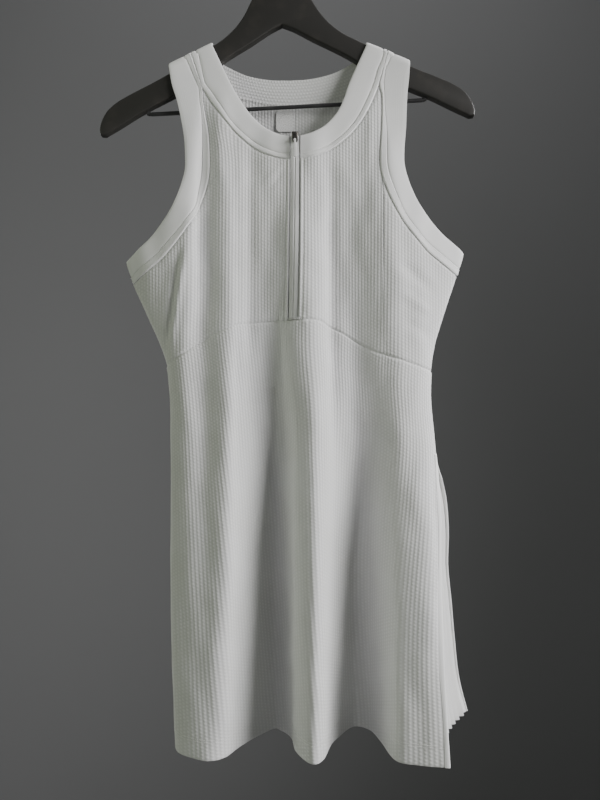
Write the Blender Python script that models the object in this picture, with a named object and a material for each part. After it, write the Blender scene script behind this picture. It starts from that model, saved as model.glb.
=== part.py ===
"""Sleeveless half-zip tennis dress hanging on a flat hanger.

The origin is the inside top of the hanger's hook. +X is to the viewer's right, -Y is the dress's
front and +Z is up. The tables are in millimetres. "Across" is the distance from the dress's
centre line, and "drop" is the distance below the hook.
"""
import math

import bmesh
import bpy
import numpy as np
from mathutils import Vector

MM = 0.001

# Cloth and the gaps between pieces
KNIT_WALL = 1.5
BAND_WALL = 2.0
PLEAT_WALL = 1.0
TAPE_WALL = 1.2
LABEL_WALL = 1.0
SEAM_GAP = 0.3
REST_GAP = 0.4

# The dress as it hangs on the hanger
DRESS_CENTRE = 21.8
SHOULDER_LEAN = -6.5
LEAN_FROM, LEAN_OVER = 175.0, 88.0
ARM_TILT = 0.025
TILT_FROM, TILT_OVER = 430.0, 110.0
HEM_DROP = 967.0
ZIP_HALF_WIDTH = 6.5
ZIP_TOP_DROP, ZIP_END_DROP = 266.0, 480.5

# The hanger
HANGER_TILT = math.radians(3.0)
BOARD_THICKNESS = 12.0
BOARD_ROUNDING = 2.0
HOOK_WIRE = 4.0
HOOK_RADIUS = 20.0
# Route of the hook from the board up to its bend: across, height
HOOK_SHANK = ((0, -56), (1.2, -50), (4.5, -43.5), (10, -37), (15.4, -31))
HOOK_START, HOOK_END = -20.0, 205.0
BAR_WIRE = 4.8
# Route of the trouser bar from the middle of its run to its turned-up end: across, drop
BAR_HALF = ((0, 227), (55, 227), (110, 227), (155, 227), (160.5, 226.85), (163.2, 226))
BAR_END_ACROSS, BAR_END_GAP = 164.0, 1.9

# How the shoulder straps lie over the board
SHOULDER_SLOPE = math.radians(29.0)
STRAP_REACH = BOARD_THICKNESS / 2 + REST_GAP + BAND_WALL / 2
OVER_CENTRE = BOARD_ROUNDING / math.cos(SHOULDER_SLOPE)
OVER_RADIUS = STRAP_REACH - (BOARD_THICKNESS / 2 - BOARD_ROUNDING)
# How far the straps stand above the board: across, height
STRAP_LIFT = ((-148, 9.0), (-121, 5.0), (-96, 1.0), (83, 0.0), (108, 3.0), (135, 3.5))
# Above this drop the cloth lies against the board
CLING_DROP, CLING_OVER = 245.0, 50.0

# Zip slider and its pull tab
SLIDER_WIDTH, SLIDER_HEIGHT, SLIDER_BODY = 8.0, 12.5, 2.2
SLIDER_TOP_DROP = 261.0
SLIDER_TAPER = 0.68
SLIDER_ROUNDING = 1.2
PIN_DROP = 271.6
PIN_RADIUS = 0.6
PIN_LIFT = 2.1
LUG_WIDTH = 1.3
LUG_HALF = 1.1
LUG_SUNK = 0.5
TAB_WIDTH, TAB_WALL, TAB_END_DROP = 5.0, 1.6, 291.0
TAB_ROUNDING = 1.4
TAB_EYE_RADIUS = 0.95
TAB_EYE_OUTER = 1.7
TAB_EYE_WIDTH = 3.4
# The plate is cast round the tab's stem: how much thicker, longer and lower than the eye it is
PLATE_THICKER, PLATE_LONGER, PLATE_BELOW_EYE = 0.2, 0.5, 1.0

# Bare label inside the back neck
LABEL_CENTRE, LABEL_WIDTH = -14.0, 17.0
LABEL_TOP_DROP, LABEL_END_DROP = 221.0, 254.0
LABEL_SWING = 1.5

# Heights at which the folds are given: yoke, bust, waist, hip, hem
FOLD_DROPS = (230.0, 430.0, 560.0, 760.0, HEM_DROP)

# Front folds: name, then across and depth at the yoke, bust, waist, hip and hem
FRONT_FOLDS = (
    ("left roll", (-121, -13), (-132, -24), (-129, -26), (-122, -42), (-117, -56)),
    ("left dip", (-104, -11), (-109, -16), (-102, -25), (-98, -50), (-97, -65)),
    ("left crest", (-86, -15), (-78, -24), (-77, -36), (-75, -56), (-77, -57)),
    ("left flank", (-69, -13), (-62, -20), (-62, -28), (-60, -36), (-61, -29)),
    ("left valley", (-42, -12), (-39, -15), (-33, -12), (-31, 2), (-29, 15)),
    ("left valley end", (-26, -12), (-21, -17), (-15, -14), (-13, -6), (-16, 10)),
    ("centre wall foot", (-10, -12), (-7, -21), (-5, -22), (-4, -24), (-4, -9)),
    ("centre wall head", (6, -13), (6, -24), (5, -31), (2, -44), (2, -44)),
    ("centre crest", (20, -14), (18, -25), (20, -38), (20, -60), (18, -72)),
    ("centre crest end", (37, -13), (32, -22), (34, -32), (33, -50), (32, -62)),
    ("centre flank", (53, -12), (45, -17), (47, -22), (46, -18), (45, -17)),
    ("right valley", (67, -12), (60, -14), (67, -14), (68, 6), (69, 21)),
    ("right valley end", (79, -12), (79, -16), (86, -15), (87, -2), (89, 13)),
    ("right wall", (91, -12), (99, -20), (104, -21), (101, -24), (100, -19)),
    ("right crest", (102, -11), (122, -23), (123, -27), (119, -46), (113, -66)),
    ("right face", (116, -10), (151, -19), (142, -23), (144, -53), (142, -77)),
)

# Back folds, from left to right, in the same columns
BACK_FOLDS = (
    ("left turn", (-122, 13), (-165, 18), (-134, 18), (-141, 8), (-137, -5)),
    ("left back roll", (-105, 12), (-120, 22), (-112, 27), (-121, 36), (-124, 36)),
    ("left back crest", (-80, 12), (-88, 20), (-86, 27), (-92, 46), (-94, 60)),
    ("left back valley", (-50, 13), (-52, 17), (-52, 20), (-52, 24), (-52, 34)),
    ("middle back crest", (-20, 12), (-20, 20), (-18, 27), (-15, 42), (-12, 62)),
    ("middle back valley", (15, 12), (15, 16), (18, 18), (24, 22), (30, 32)),
    ("right back crest", (55, 13), (55, 20), (58, 27), (66, 46), (76, 66)),
    ("right back valley", (85, 12), (95, 17), (92, 19), (104, 34), (122, 46)),
    ("right back roll", (115, 12), (135, 21), (125, 24), (142, 44), (170, 68)),
    ("right turn", (128, 12), (168, 18), (146, 18), (172, 34), (204, 72)),
)

# Side seams: drop, across, depth. Below the slit the right one is the front panel's free edge.
LEFT_SIDE = (
    (160, -175, 0), (330, -195, 0), (409, -198, 0), (435, -189.5, 0), (455, -181, -1), (478, -171, -2),
    (502, -160.5, -3), (525, -152, -4), (560, -146.5, -6), (620, -144, -12), (690, -142.5, -18),
    (760, -141.5, -24), (830, -139.5, -30), (967, -133.5, -39),
)
RIGHT_SIDE = (
    (160, 175, 0), (330, 195, 0), (399, 198, 0), (425, 190.5, 0), (455, 180.5, -1), (478, 173, -2),
    (502, 166, -3), (525, 161.5, -4), (560, 158.5, -6), (620, 162.5, -10), (690, 166, -27),
    (760, 164, -42), (830, 163, -57), (967, 166.5, -81),
)
# Above the underarm the two sheets stay clear of the hanger, out to the armholes
SIDE_LIFT, LIFT_FROM, LIFT_OVER = 10.0, 392.0, 80.0
# The back panel's right edge: it leaves the front one where the slit begins
SLIT_DROP = 620.0
SLIT_OPEN_DROP = 700.0
PARTING_DROP, PARTING_OVER = 641.0, 24.0
BACK_RIGHT_SIDE = RIGHT_SIDE[:9] + (
    (620, 162.5, -10), (650, 168, -8), (690, 178.5, 4), (725, 182.5, 11), (773, 184, 22),
    (816, 189.5, 31), (867, 196, 42), (921, 204.5, 55), (967, 218, 70),
)

# The pleated inset hangs inside both panels. Its edges are set in by parts of their last folds
INSET_SET_IN = 0.1
INSET_OVERLAP, OVERLAP_OVER = 0.4, 100.0
INSET_CLEARANCE = 0.9
INSET_LENGTH = 155.0
INSET_BOW = 10.0
INSET_HEM_LIFT = 0.5
# Depth of the pleats as a part of their pitch: at the top, how much more at the hem, and its rise
PLEAT_TOP_DEPTH, PLEAT_GAIN, PLEAT_RISE = 0.05, 0.45, 0.7

# Neck band, one half of the front from the zip to the shoulder: place, edge, seam
NECK_FRONT = (
    ("centre", (6.5, 265.5), (6.5, 292.5)),
    ("low curve", (21, 261.8), (24, 289)),
    ("curve", (36, 253.3), (44, 280)),
    ("side curve", (50, 239), (66, 262.5)),
    ("rise", (60, 222), (84.5, 239)),
    ("wedge tip", (70, 200), (104.3, 202)),
    ("shoulder", (90, 0), (114.7, 0)),
)
NECK_TIP_ROW = 5
# The same for one half of the back, from the shoulder to the centre
NECK_BACK = (
    ("shoulder", (90, 0), (114.7, 0)),
    ("wedge tip", (82, 168.5), (104.3, 196)),
    ("slope", (70, 176.5), (86, 205)),
    ("curve", (50, 185.8), (58, 212)),
    ("flat", (25, 191.2), (29, 218.5)),
    ("centre", (0, 192.5), (0, 221)),
)
# Armhole band, from the shoulder to the side seam: place, edge, seam
ARM_ROWS = (
    ("shoulder", (141, 0), (114.7, 0)),
    ("wedge tip", (138.5, 200), (104.3, 202)),
    ("strap", (134, 222), (104.8, 222)),
    ("strap end", (129.5, 257), (101, 257)),
    ("inmost", (127.2, 286), (99.2, 288)),
    ("turn", (128, 306), (100.5, 312)),
    ("low", (136.5, 333), (110.7, 343.5)),
    ("lower", (149, 356), (126, 372)),
    ("under", (169, 380), (149, 399.5)),
    ("under end", (184.7, 393), (167, 414.5)),
    ("side seam", (198, 404), (189.5, 430)),
)
# On the back the wedge between the bands ends a little higher
ARM_BACK_TIP = ("wedge tip", (139, 195), (104.3, 196))

# Seam between bodice and skirt: across, drop
FRONT_SEAM = (
    (-150, 532), (-110, 507), (-71, 487), (-30, 482), (0, 481), (29, 482.5), (52, 494),
    (75, 508), (121, 526), (160, 539),
)
BACK_SEAM = ((-150, 532), (-75, 512), (0, 505), (75, 514), (160, 539))

# Hanger board: right half of the upper outline and of the lower one, across and drop
BOARD_TOP = (
    (0, 70), (12, 71.5), (20, 77), (27, 88), (35, 102), (44, 118), (56, 133), (72, 146), (90, 156),
    (110, 167.5), (132, 180), (155, 191.5), (177, 201.5), (197, 211.5), (210, 221.5), (217, 232),
    (220.5, 243), (219.5, 250),
)
BOARD_BOTTOM = (
    (214.5, 250.5), (196.5, 241), (172, 227.5), (150, 217), (128, 207), (105, 193.5), (72, 171),
    (36, 151), (15, 138.5), (0, 131.5),
)

# Counts of faces
NECK_STEPS = 2
ARM_STEPS = 2
OVER_STEPS = 10
SIDE_STEPS = 5
BODICE_COLUMNS = 11
# The front wedge between the bands is cut off this far along its first faces
TIP_CUT = 0.15
FOLD_STEPS = 3
BACK_STEPS = 3
BOARD_STEPS = 1
ROUNDING_STEPS = 2
HOOK_STEPS = 24
SKIRT_UPPER_ROWS = 3
ZIP_ROWS = 12
PLEATS = 11
# The panels and the inset have the same rows below the point where the slit opens
SLIT_ROWS = 9
# Rounds of halving that find a column, and of reading that find the seam's height
HALVINGS = 26
SEAM_ROUNDS = 5

WHITE_KNIT = (0.80, 0.80, 0.79)
WHITE_SMOOTH = (0.83, 0.83, 0.82)


def ease(value):
    """Smooth step from 0 to 1."""
    value = np.clip(value, 0.0, 1.0)
    return value * value * (3.0 - 2.0 * value)


def through(stations, rows, at):
    """Smooth curve through unevenly spaced rows, read at each value of `at`."""
    stations = np.asarray(stations, float)
    rows = np.asarray(rows, float)
    at = np.clip(np.asarray(at, float), stations[0], stations[-1])
    slopes = np.gradient(rows, stations, axis=0)
    index = np.clip(np.searchsorted(stations, at, side="right") - 1, 0, len(stations) - 2)
    step = stations[index + 1] - stations[index]
    part = (at - stations[index]) / step
    spread = (slice(None),) * at.ndim + (None,) * (rows.ndim - 1)
    part, step = part[spread], step[spread]
    start, end = rows[index], rows[index + 1]
    leave, arrive = slopes[index] * step, slopes[index + 1] * step
    return (start * (1 + 2 * part) * (1 - part) ** 2 + leave * part * (1 - part) ** 2
            + end * part ** 2 * (3 - 2 * part) + arrive * part ** 2 * (part - 1))


def read_side(table, drop):
    """Across and depth of a side line at each drop."""
    table = np.asarray(table, float)
    return through(table[:, 0], table[:, 1:], drop)


def read_folds(table, drop):
    """Across and depth of each fold at each drop."""
    columns = np.array([row[1:] for row in table], float)
    by_drop = columns.transpose(1, 0, 2)
    reach = np.clip(drop, FOLD_DROPS[0], FOLD_DROPS[-1])
    folds = through(FOLD_DROPS, by_drop, reach)
    cling = ease((CLING_DROP - drop) / CLING_OVER)[..., None]
    against = STRAP_REACH * np.sign(folds[..., 1])
    folds[..., 1] = folds[..., 1] * (1 - cling) + against * cling
    return folds


def sheet_controls(front, drop):
    """Control points of the front or the back of the dress at each drop, ends included."""
    here = read_folds(FRONT_FOLDS if front else BACK_FOLDS, drop)
    other = read_folds(BACK_FOLDS if front else FRONT_FOLDS, drop)
    left = read_side(LEFT_SIDE, drop)
    right = read_side(RIGHT_SIDE, drop)
    if not front:
        parted = ease((drop - PARTING_DROP) / PARTING_OVER)[..., None]
        right = right * (1 - parted) + read_side(BACK_RIGHT_SIDE, drop) * parted
    apart = SIDE_LIFT * ease((LIFT_FROM - drop) / LIFT_OVER) * (-1 if front else 1)
    left[..., 1] += apart
    right[..., 1] += apart
    opened = ease((drop - SLIT_DROP) / (SLIT_OPEN_DROP - SLIT_DROP))[..., None]
    joined = other[..., -1, :]
    free = 2 * right - here[..., -1, :]
    beyond = joined * (1 - opened) + free * opened
    columns = [other[..., 0, :], left] + [here[..., k, :] for k in range(here.shape[-2])]
    return np.stack(columns + [right, beyond], axis=-2)


def sheet_columns(front):
    """Number of intervals between the side seams."""
    return len(FRONT_FOLDS if front else BACK_FOLDS) + 1


def sheet_plan(front, column, drop):
    """Across and depth on the sheet. Column 0 is the left side seam."""
    column, drop = np.broadcast_arrays(np.asarray(column, float), np.asarray(drop, float))
    points = sheet_controls(front, drop)
    count = sheet_columns(front)
    index = np.clip(np.floor(column).astype(int), 0, count - 1)
    part = (column - index)[..., None]
    near = [np.take_along_axis(points, (index + k)[..., None, None], axis=-2)[..., 0, :]
            for k in range(4)]
    before, start, end, after = near
    return 0.5 * (2 * start + (end - before) * part
                  + (2 * before - 5 * start + 4 * end - after) * part ** 2
                  + (3 * start - before - 3 * end + after) * part ** 3)


def sheet_point(front, column, drop):
    """Point on the sheet: across, depth, height."""
    plan = sheet_plan(front, column, drop)
    height = np.broadcast_to(-np.asarray(drop, float), plan[..., 0].shape)
    return np.stack([plan[..., 0], plan[..., 1], height], axis=-1)


def sheet_normal(front, column, drop):
    """Outward direction of the sheet."""
    small, reach = 0.002, 0.5
    count = sheet_columns(front)
    low = np.clip(column - small, 0, count)
    high = np.clip(column + small, 0, count)
    along = sheet_point(front, high, drop) - sheet_point(front, low, drop)
    down = sheet_point(front, column, drop + reach) - sheet_point(front, column, drop - reach)
    turn = -1.0 if front else 1.0
    normal = turn * np.cross(along, down)
    return normal / np.linalg.norm(normal, axis=-1, keepdims=True)


def column_at(front, across, drop):
    """Column at which the sheet reaches `across`, found by halving."""
    across, drop = np.broadcast_arrays(np.asarray(across, float), np.asarray(drop, float))
    low = np.zeros(across.shape)
    high = np.full(across.shape, float(sheet_columns(front)))
    for _ in range(HALVINGS):
        middle = (low + high) / 2
        left_of = sheet_plan(front, middle, drop)[..., 0] < across
        low = np.where(left_of, middle, low)
        high = np.where(left_of, high, middle)
    return (low + high) / 2


def hang(side, across, drop):
    """How a row of the pattern hangs: the shoulders lean and the right arm is higher."""
    across = side * np.asarray(across, float)
    drop = np.asarray(drop, float)
    lean = SHOULDER_LEAN * (1 - ease((drop - LEAN_FROM) / LEAN_OVER))
    tilt = ARM_TILT * across * (1 - ease((drop - TILT_FROM) / TILT_OVER))
    return across + lean, drop - tilt


def board_outline(rows, steps):
    """Points of half of an outline, smooth through its rows."""
    rows = np.asarray(rows, float)
    at = np.linspace(0, len(rows) - 1, (len(rows) - 1) * steps + 1)
    return through(np.arange(len(rows)), rows, at)


def board_top_drop(across):
    """Drop of the tilted board's upper edge, at a distance from the dress's centre."""
    half = board_outline(BOARD_TOP[:-2], BOARD_STEPS)
    whole = np.concatenate([half[::-1] * (-1, 1), half[1:]])
    turned_across = whole[:, 0] * math.cos(HANGER_TILT) + whole[:, 1] * math.sin(HANGER_TILT)
    turned_drop = whole[:, 1] * math.cos(HANGER_TILT) - whole[:, 0] * math.sin(HANGER_TILT)
    world = np.asarray(across, float) + DRESS_CENTRE
    return np.interp(world, turned_across, turned_drop)


def strap_drop(across):
    """Drop of the centre that the straps turn round, above the board's edge."""
    places, heights = np.array(STRAP_LIFT).T
    return board_top_drop(across) + OVER_CENTRE - np.interp(across, places, heights)


def over_board(across, turn):
    """Point of a strap over the board. `turn` runs from 0 in front to 1 behind."""
    angle = math.pi * turn
    flat = BOARD_THICKNESS / 2 - BOARD_ROUNDING
    depth = -math.cos(angle) * OVER_RADIUS - math.copysign(flat, math.cos(angle))
    if abs(turn - 0.5) < 1e-6:
        depth = 0.0
    rise = math.sin(angle) * OVER_RADIUS / math.cos(SHOULDER_SLOPE)
    drop = strap_drop(across) - rise
    return across, depth, drop


def pattern_curve(rows, which, steps, side):
    """Across and drop along an edge or a seam. A shoulder row ends where the strap turns over."""
    names = [row[0] for row in rows]
    flat = np.array([row[which] for row in rows], float)
    shoulder = names.index("shoulder")
    across, drop = hang(side, flat[:, 0], flat[:, 1])
    across[shoulder] = side * flat[shoulder, 0] + SHOULDER_LEAN
    drop[shoulder] = strap_drop(across[shoulder])
    at = np.linspace(0, len(rows) - 1, (len(rows) - 1) * steps + 1)
    marks = np.stack([across, drop], axis=-1)
    curve = through(np.arange(len(rows)), marks, at)
    if which == 2:
        tip = names.index("wedge tip")
        first, last = sorted((tip, shoulder))
        groove = spaced(marks[first], marks[last], steps + 1)
        curve[first * steps:last * steps + 1] = groove
    return curve


def strap_grid(side, front_rows, back_rows, steps, reaches_side):
    """Points of a band from the front, over the shoulder, to the back. Three points across."""
    rings = []
    cells = (0.0, 0.5, 1.0)
    for front, rows in ((True, front_rows), (None, None), (False, back_rows)):
        if front is None:
            edge = pattern_curve(front_rows, 1, steps, side)[-1]
            seam = pattern_curve(front_rows, 2, steps, side)[-1]
            for k in range(1, OVER_STEPS):
                row = [over_board(edge[0] * (1 - c) + seam[0] * c, k / OVER_STEPS) for c in cells]
                rings.append([(x, y, -drop) for x, y, drop in row])
            continue
        edge = pattern_curve(rows, 1, steps, side)
        seam = pattern_curve(rows, 2, steps, side)
        for point_edge, point_seam in zip(edge, seam):
            columns = column_at(front, (point_edge[0], point_seam[0]), (point_edge[1], point_seam[1]))
            if reaches_side:
                columns = snap_to_side(columns, side, front, point_edge)
            column = np.array([columns[0] * (1 - c) + columns[1] * c for c in cells])
            drop = np.array([point_edge[1] * (1 - c) + point_seam[1] * c for c in cells])
            rings.append(sheet_point(front, column, drop).tolist())
    return np.array(rings)


def snap_to_side(columns, side, front, point_edge):
    """The band's last row lies on the side seam itself."""
    end = 0.0 if side < 0 else float(sheet_columns(front))
    last_drop = hang(side, *ARM_ROWS[-1][1])[1]
    if abs(point_edge[1] - last_drop) < 1e-6:
        return np.array([end, end])
    return columns


def grid_normals(points, closed):
    """Directions across a grid of points, from its neighbours."""
    if closed:
        along = np.roll(points, -1, axis=0) - np.roll(points, 1, axis=0)
    else:
        along = np.gradient(points, axis=0)
    across = np.gradient(points, axis=1)
    normal = np.cross(along, across)
    return normal / np.linalg.norm(normal, axis=-1, keepdims=True)


def pull_in(points, gap_start, gap_end):
    """Moves the first and the last column of a grid inwards by the seam's gap."""
    points = points.copy()
    for edge, inner, gap in ((0, 1, gap_start), (-1, -2, gap_end)):
        way = points[:, inner] - points[:, edge]
        way = way / np.linalg.norm(way, axis=-1, keepdims=True)
        points[:, edge] = points[:, edge] + way * np.asarray(gap).reshape(-1, 1)
    return points


def principled(name, colour, roughness, metallic=0.0):
    """Material with the piece's colour."""
    material = bpy.data.materials.new(name)
    material.use_nodes = True
    shader = material.node_tree.nodes["Principled BSDF"]
    shader.inputs["Base Color"].default_value = (*colour, 1.0)
    shader.inputs["Roughness"].default_value = roughness
    shader.inputs["Metallic"].default_value = metallic
    return material


def add_object(name, mesh, material, parent=None):
    """Puts a mesh into the scene."""
    mesh.materials.append(material)
    piece = bpy.data.objects.new(name, mesh)
    bpy.context.scene.collection.objects.link(piece)
    piece.parent = parent
    return piece


def finish_mesh(name, bm, smooth_angle=50.0):
    """Mesh from a bmesh, with its faces pointing out."""
    bmesh.ops.recalc_face_normals(bm, faces=bm.faces)
    mesh = bpy.data.meshes.new(name)
    bm.to_mesh(mesh)
    bm.free()
    mesh.shade_smooth()
    mesh.set_sharp_from_angle(angle=math.radians(smooth_angle))
    return mesh


def cloth_mesh(name, points, normals, wall, closed=False):
    """Wall of cloth about a grid of points in millimetres from the dress's centre."""
    rows, columns = points.shape[:2]
    shift = np.array([DRESS_CENTRE, 0.0, 0.0])
    outer = (points + normals * wall / 2 + shift) * MM
    inner = (points - normals * wall / 2 + shift) * MM
    bm = bmesh.new()
    row_of = bm.verts.layers.int.new("row")
    column_of = bm.verts.layers.int.new("column")
    bmesh.ops.create_grid(bm, x_segments=columns - 1, y_segments=rows if closed else rows - 1, size=1.0)
    last = rows if closed else rows - 1
    for vert in bm.verts:
        row = round((vert.co.y + 1) / 2 * last) % (rows if closed else rows + 1)
        column = round((vert.co.x + 1) / 2 * (columns - 1))
        vert[row_of], vert[column_of] = row, column
        vert.co = inner[row, column]
    if closed:
        bmesh.ops.remove_doubles(bm, verts=bm.verts, dist=1e-7)
    raised = bmesh.ops.extrude_face_region(bm, geom=bm.faces[:])["geom"]
    for vert in raised:
        if isinstance(vert, bmesh.types.BMVert):
            vert.co = outer[vert[row_of], vert[column_of]]
    return finish_mesh(name, bm)


def seam_drop(front, column):
    """Drop of the seam between bodice and skirt, at a column of the sheet."""
    table = np.asarray(FRONT_SEAM if front else BACK_SEAM, float)
    drop = np.full(np.shape(column), float(table[len(table) // 2, 1]))
    for _ in range(SEAM_ROUNDS):
        across = sheet_plan(front, column, drop)[..., 0]
        drop = through(table[:, 0], table[:, 1], across)
    return drop


def coons(top, bottom, first, last):
    """Grid between four boundary curves. Top and bottom run from `first` to `last`."""
    across = np.linspace(0, 1, len(top))[None, :, None]
    down = np.linspace(0, 1, len(first))[:, None, None]
    ruled_down = top[None] * (1 - down) + bottom[None] * down
    ruled_across = first[:, None] * (1 - across) + last[:, None] * across
    corners = ((top[0] * (1 - across) + top[-1] * across) * (1 - down)
               + (bottom[0] * (1 - across) + bottom[-1] * across) * down)
    return ruled_down + ruled_across - corners


def on_sheet(front, curve):
    """Column and drop of a curve that is given by across and drop."""
    return np.stack([column_at(front, curve[:, 0], curve[:, 1]), curve[:, 1]], axis=-1)


def arm_and_side(front, side, steps, side_steps):
    """Outer boundary of a bodice panel: armhole seam, then side seam, as column and drop."""
    rows = arm_rows(front)
    end = 0.0 if side < 0 else float(sheet_columns(front))
    curve = pattern_curve(rows, 2, steps, side)[steps:]
    arm = on_sheet(front, curve)
    arm[-1, 0] = end
    bottom = float(seam_drop(front, np.array([end]))[0])
    side_drop = np.linspace(arm[-1, 1], bottom, side_steps + 1)[1:]
    seam = np.stack([np.full(side_steps, end), side_drop], axis=-1)
    return np.concatenate([arm, seam])


def arm_rows(front):
    """Rows of the armhole band on the front or on the back."""
    if front:
        return ARM_ROWS
    return ARM_ROWS[:1] + (ARM_BACK_TIP,) + ARM_ROWS[2:]


def spaced(start, end, count):
    """Evenly spaced points between two points."""
    part = np.linspace(0, 1, count)[:, None]
    return np.asarray(start)[None] * (1 - part) + np.asarray(end)[None] * part


def trim_sheet(front, grid, gaps):
    """Moves a patch's sides inwards by a gap. `gaps` are first, last, top and bottom."""
    points = sheet_point(front, grid[..., 0], grid[..., 1])
    normals = sheet_normal(front, grid[..., 0], grid[..., 1])
    points = pull_in(points, gaps[0], gaps[1])
    points = pull_in(points.transpose(1, 0, 2), gaps[2], gaps[3]).transpose(1, 0, 2)
    return points, normals


def front_bodice(side):
    """Half of the front bodice, between zip, neck band, armhole band, side seam and skirt."""
    below_tip = NECK_TIP_ROW * NECK_STEPS + 1
    neck = on_sheet(True, pattern_curve(NECK_FRONT, 2, NECK_STEPS, side)[:below_tip])[::-1]
    outer = arm_and_side(True, side, ARM_STEPS, SIDE_STEPS)
    zip_rows = len(outer) - len(neck)
    zip_across = np.full(zip_rows, side * ZIP_HALF_WIDTH)
    zip_drop = np.linspace(neck[-1, 1], FRONT_SEAM[4][1], zip_rows + 1)[1:]
    inner = np.concatenate([neck, on_sheet(True, np.stack([zip_across, zip_drop], axis=-1))])
    for boundary in (outer, inner):
        boundary[0] += (boundary[1] - boundary[0]) * TIP_CUT
    across = np.linspace(0, 1, BODICE_COLUMNS + 1)[None, :, None]
    grid = outer[:, None] * (1 - across) + inner[:, None] * across
    seam = seam_drop(True, grid[-1, :, 0])
    sink = ease((np.arange(len(outer)) / (len(outer) - 1) - 0.5) * 2)[:, None]
    grid[..., 1] += sink * (seam - grid[-1, :, 1])[None]
    points, normals = trim_sheet(True, grid, (SEAM_GAP / 2, 0, 0, SEAM_GAP / 2))
    name = "bodice_front_left" if side < 0 else "bodice_front_right"
    mesh = cloth_mesh(name, points, normals, KNIT_WALL)
    return add_object(name, mesh, principled("waffle knit " + name, WHITE_KNIT, 0.85))


def cut_corner(corner, first, second):
    """Corner of a panel, drawn in a little from the tip where its two seams meet."""
    return corner + ((first - corner) + (second - corner)) * TIP_CUT / 2


def back_bodice():
    """The back bodice, in one piece below the neck band."""
    halves = []
    for side in (-1, 1):
        neck = pattern_curve(NECK_BACK, 2, NECK_STEPS, side)[NECK_STEPS:]
        halves.append(on_sheet(False, neck))
    top = np.concatenate([halves[0], halves[1][::-1][1:]])
    first = arm_and_side(False, -1, ARM_STEPS, SIDE_STEPS)
    last = arm_and_side(False, 1, ARM_STEPS, SIDE_STEPS)
    columns = np.linspace(first[-1, 0], last[-1, 0], len(top))
    bottom = np.stack([columns, seam_drop(False, columns)], axis=-1)
    first[-1], last[-1] = bottom[0], bottom[-1]
    top[0] = first[0] = cut_corner(top[0], top[1], first[1])
    top[-1] = last[0] = cut_corner(top[-1], top[-2], last[1])
    grid = coons(top, bottom, first, last)
    points, normals = trim_sheet(False, grid, (SEAM_GAP / 2, SEAM_GAP / 2, 0, SEAM_GAP / 2))
    mesh = cloth_mesh("bodice_back", points, normals, KNIT_WALL)
    return add_object("bodice_back", mesh, principled("waffle knit back", WHITE_KNIT, 0.85))


def skirt(front):
    """A skirt panel, from the seam under the bodice to the hem."""
    steps = FOLD_STEPS if front else BACK_STEPS
    count = sheet_columns(front)
    column = np.linspace(0, count, count * steps + 1)
    top = seam_drop(front, column)
    down = np.linspace(0, 1, SKIRT_UPPER_ROWS + 1)[:-1, None]
    upper = top[None] * (1 - down) + PARTING_DROP * down
    lower = np.linspace(PARTING_DROP, HEM_DROP, SLIT_ROWS + 1)[:, None]
    drop = np.concatenate([upper, np.broadcast_to(lower, (SLIT_ROWS + 1, len(column)))])
    grid = np.stack([np.broadcast_to(column, drop.shape), drop], axis=-1)
    points, normals = trim_sheet(front, grid, (SEAM_GAP / 2, SEAM_GAP / 2, SEAM_GAP, 0))
    name = "skirt_front" if front else "skirt_back"
    mesh = cloth_mesh(name, points, normals, KNIT_WALL)
    return add_object(name, mesh, principled("waffle knit " + name, WHITE_KNIT, 0.85))


def neckband():
    """Smooth band from the zip over the left shoulder, round the back and to the zip again."""
    left = strap_grid(-1, NECK_FRONT, NECK_BACK, NECK_STEPS, False)
    right = strap_grid(1, NECK_FRONT, NECK_BACK, NECK_STEPS, False)
    points = np.concatenate([left, right[::-1][1:]])
    gaps = np.full(len(points), SEAM_GAP)
    strap = slice(NECK_TIP_ROW * NECK_STEPS + 1, (NECK_TIP_ROW + 2) * NECK_STEPS + OVER_STEPS)
    gaps[strap] = SEAM_GAP / 2
    gaps[::-1][strap] = SEAM_GAP / 2
    points = pull_in(points, 0, gaps)
    normals = -grid_normals(points, False)
    mesh = cloth_mesh("neckband", points, normals, BAND_WALL)
    return add_object("neckband", mesh, principled("smooth knit neck", WHITE_SMOOTH, 0.75))


def armband(side):
    """Smooth band round an armhole, a closed ring."""
    front_rows = arm_rows(True)[::-1]
    back_rows = arm_rows(False)
    points = strap_grid(side, front_rows, back_rows, ARM_STEPS, True)[:-1]
    stretch = (len(ARM_ROWS) - 1) * ARM_STEPS
    gaps = np.full(len(points), SEAM_GAP)
    gaps[stretch - ARM_STEPS + 1:stretch + ARM_STEPS + OVER_STEPS] = SEAM_GAP / 2
    points = pull_in(points, 0, gaps)
    normals = side * grid_normals(points, True)
    name = "armband_left" if side < 0 else "armband_right"
    mesh = cloth_mesh(name, points, normals, BAND_WALL, closed=True)
    return add_object(name, mesh, principled("smooth knit " + name, WHITE_SMOOTH, 0.75))


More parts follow.
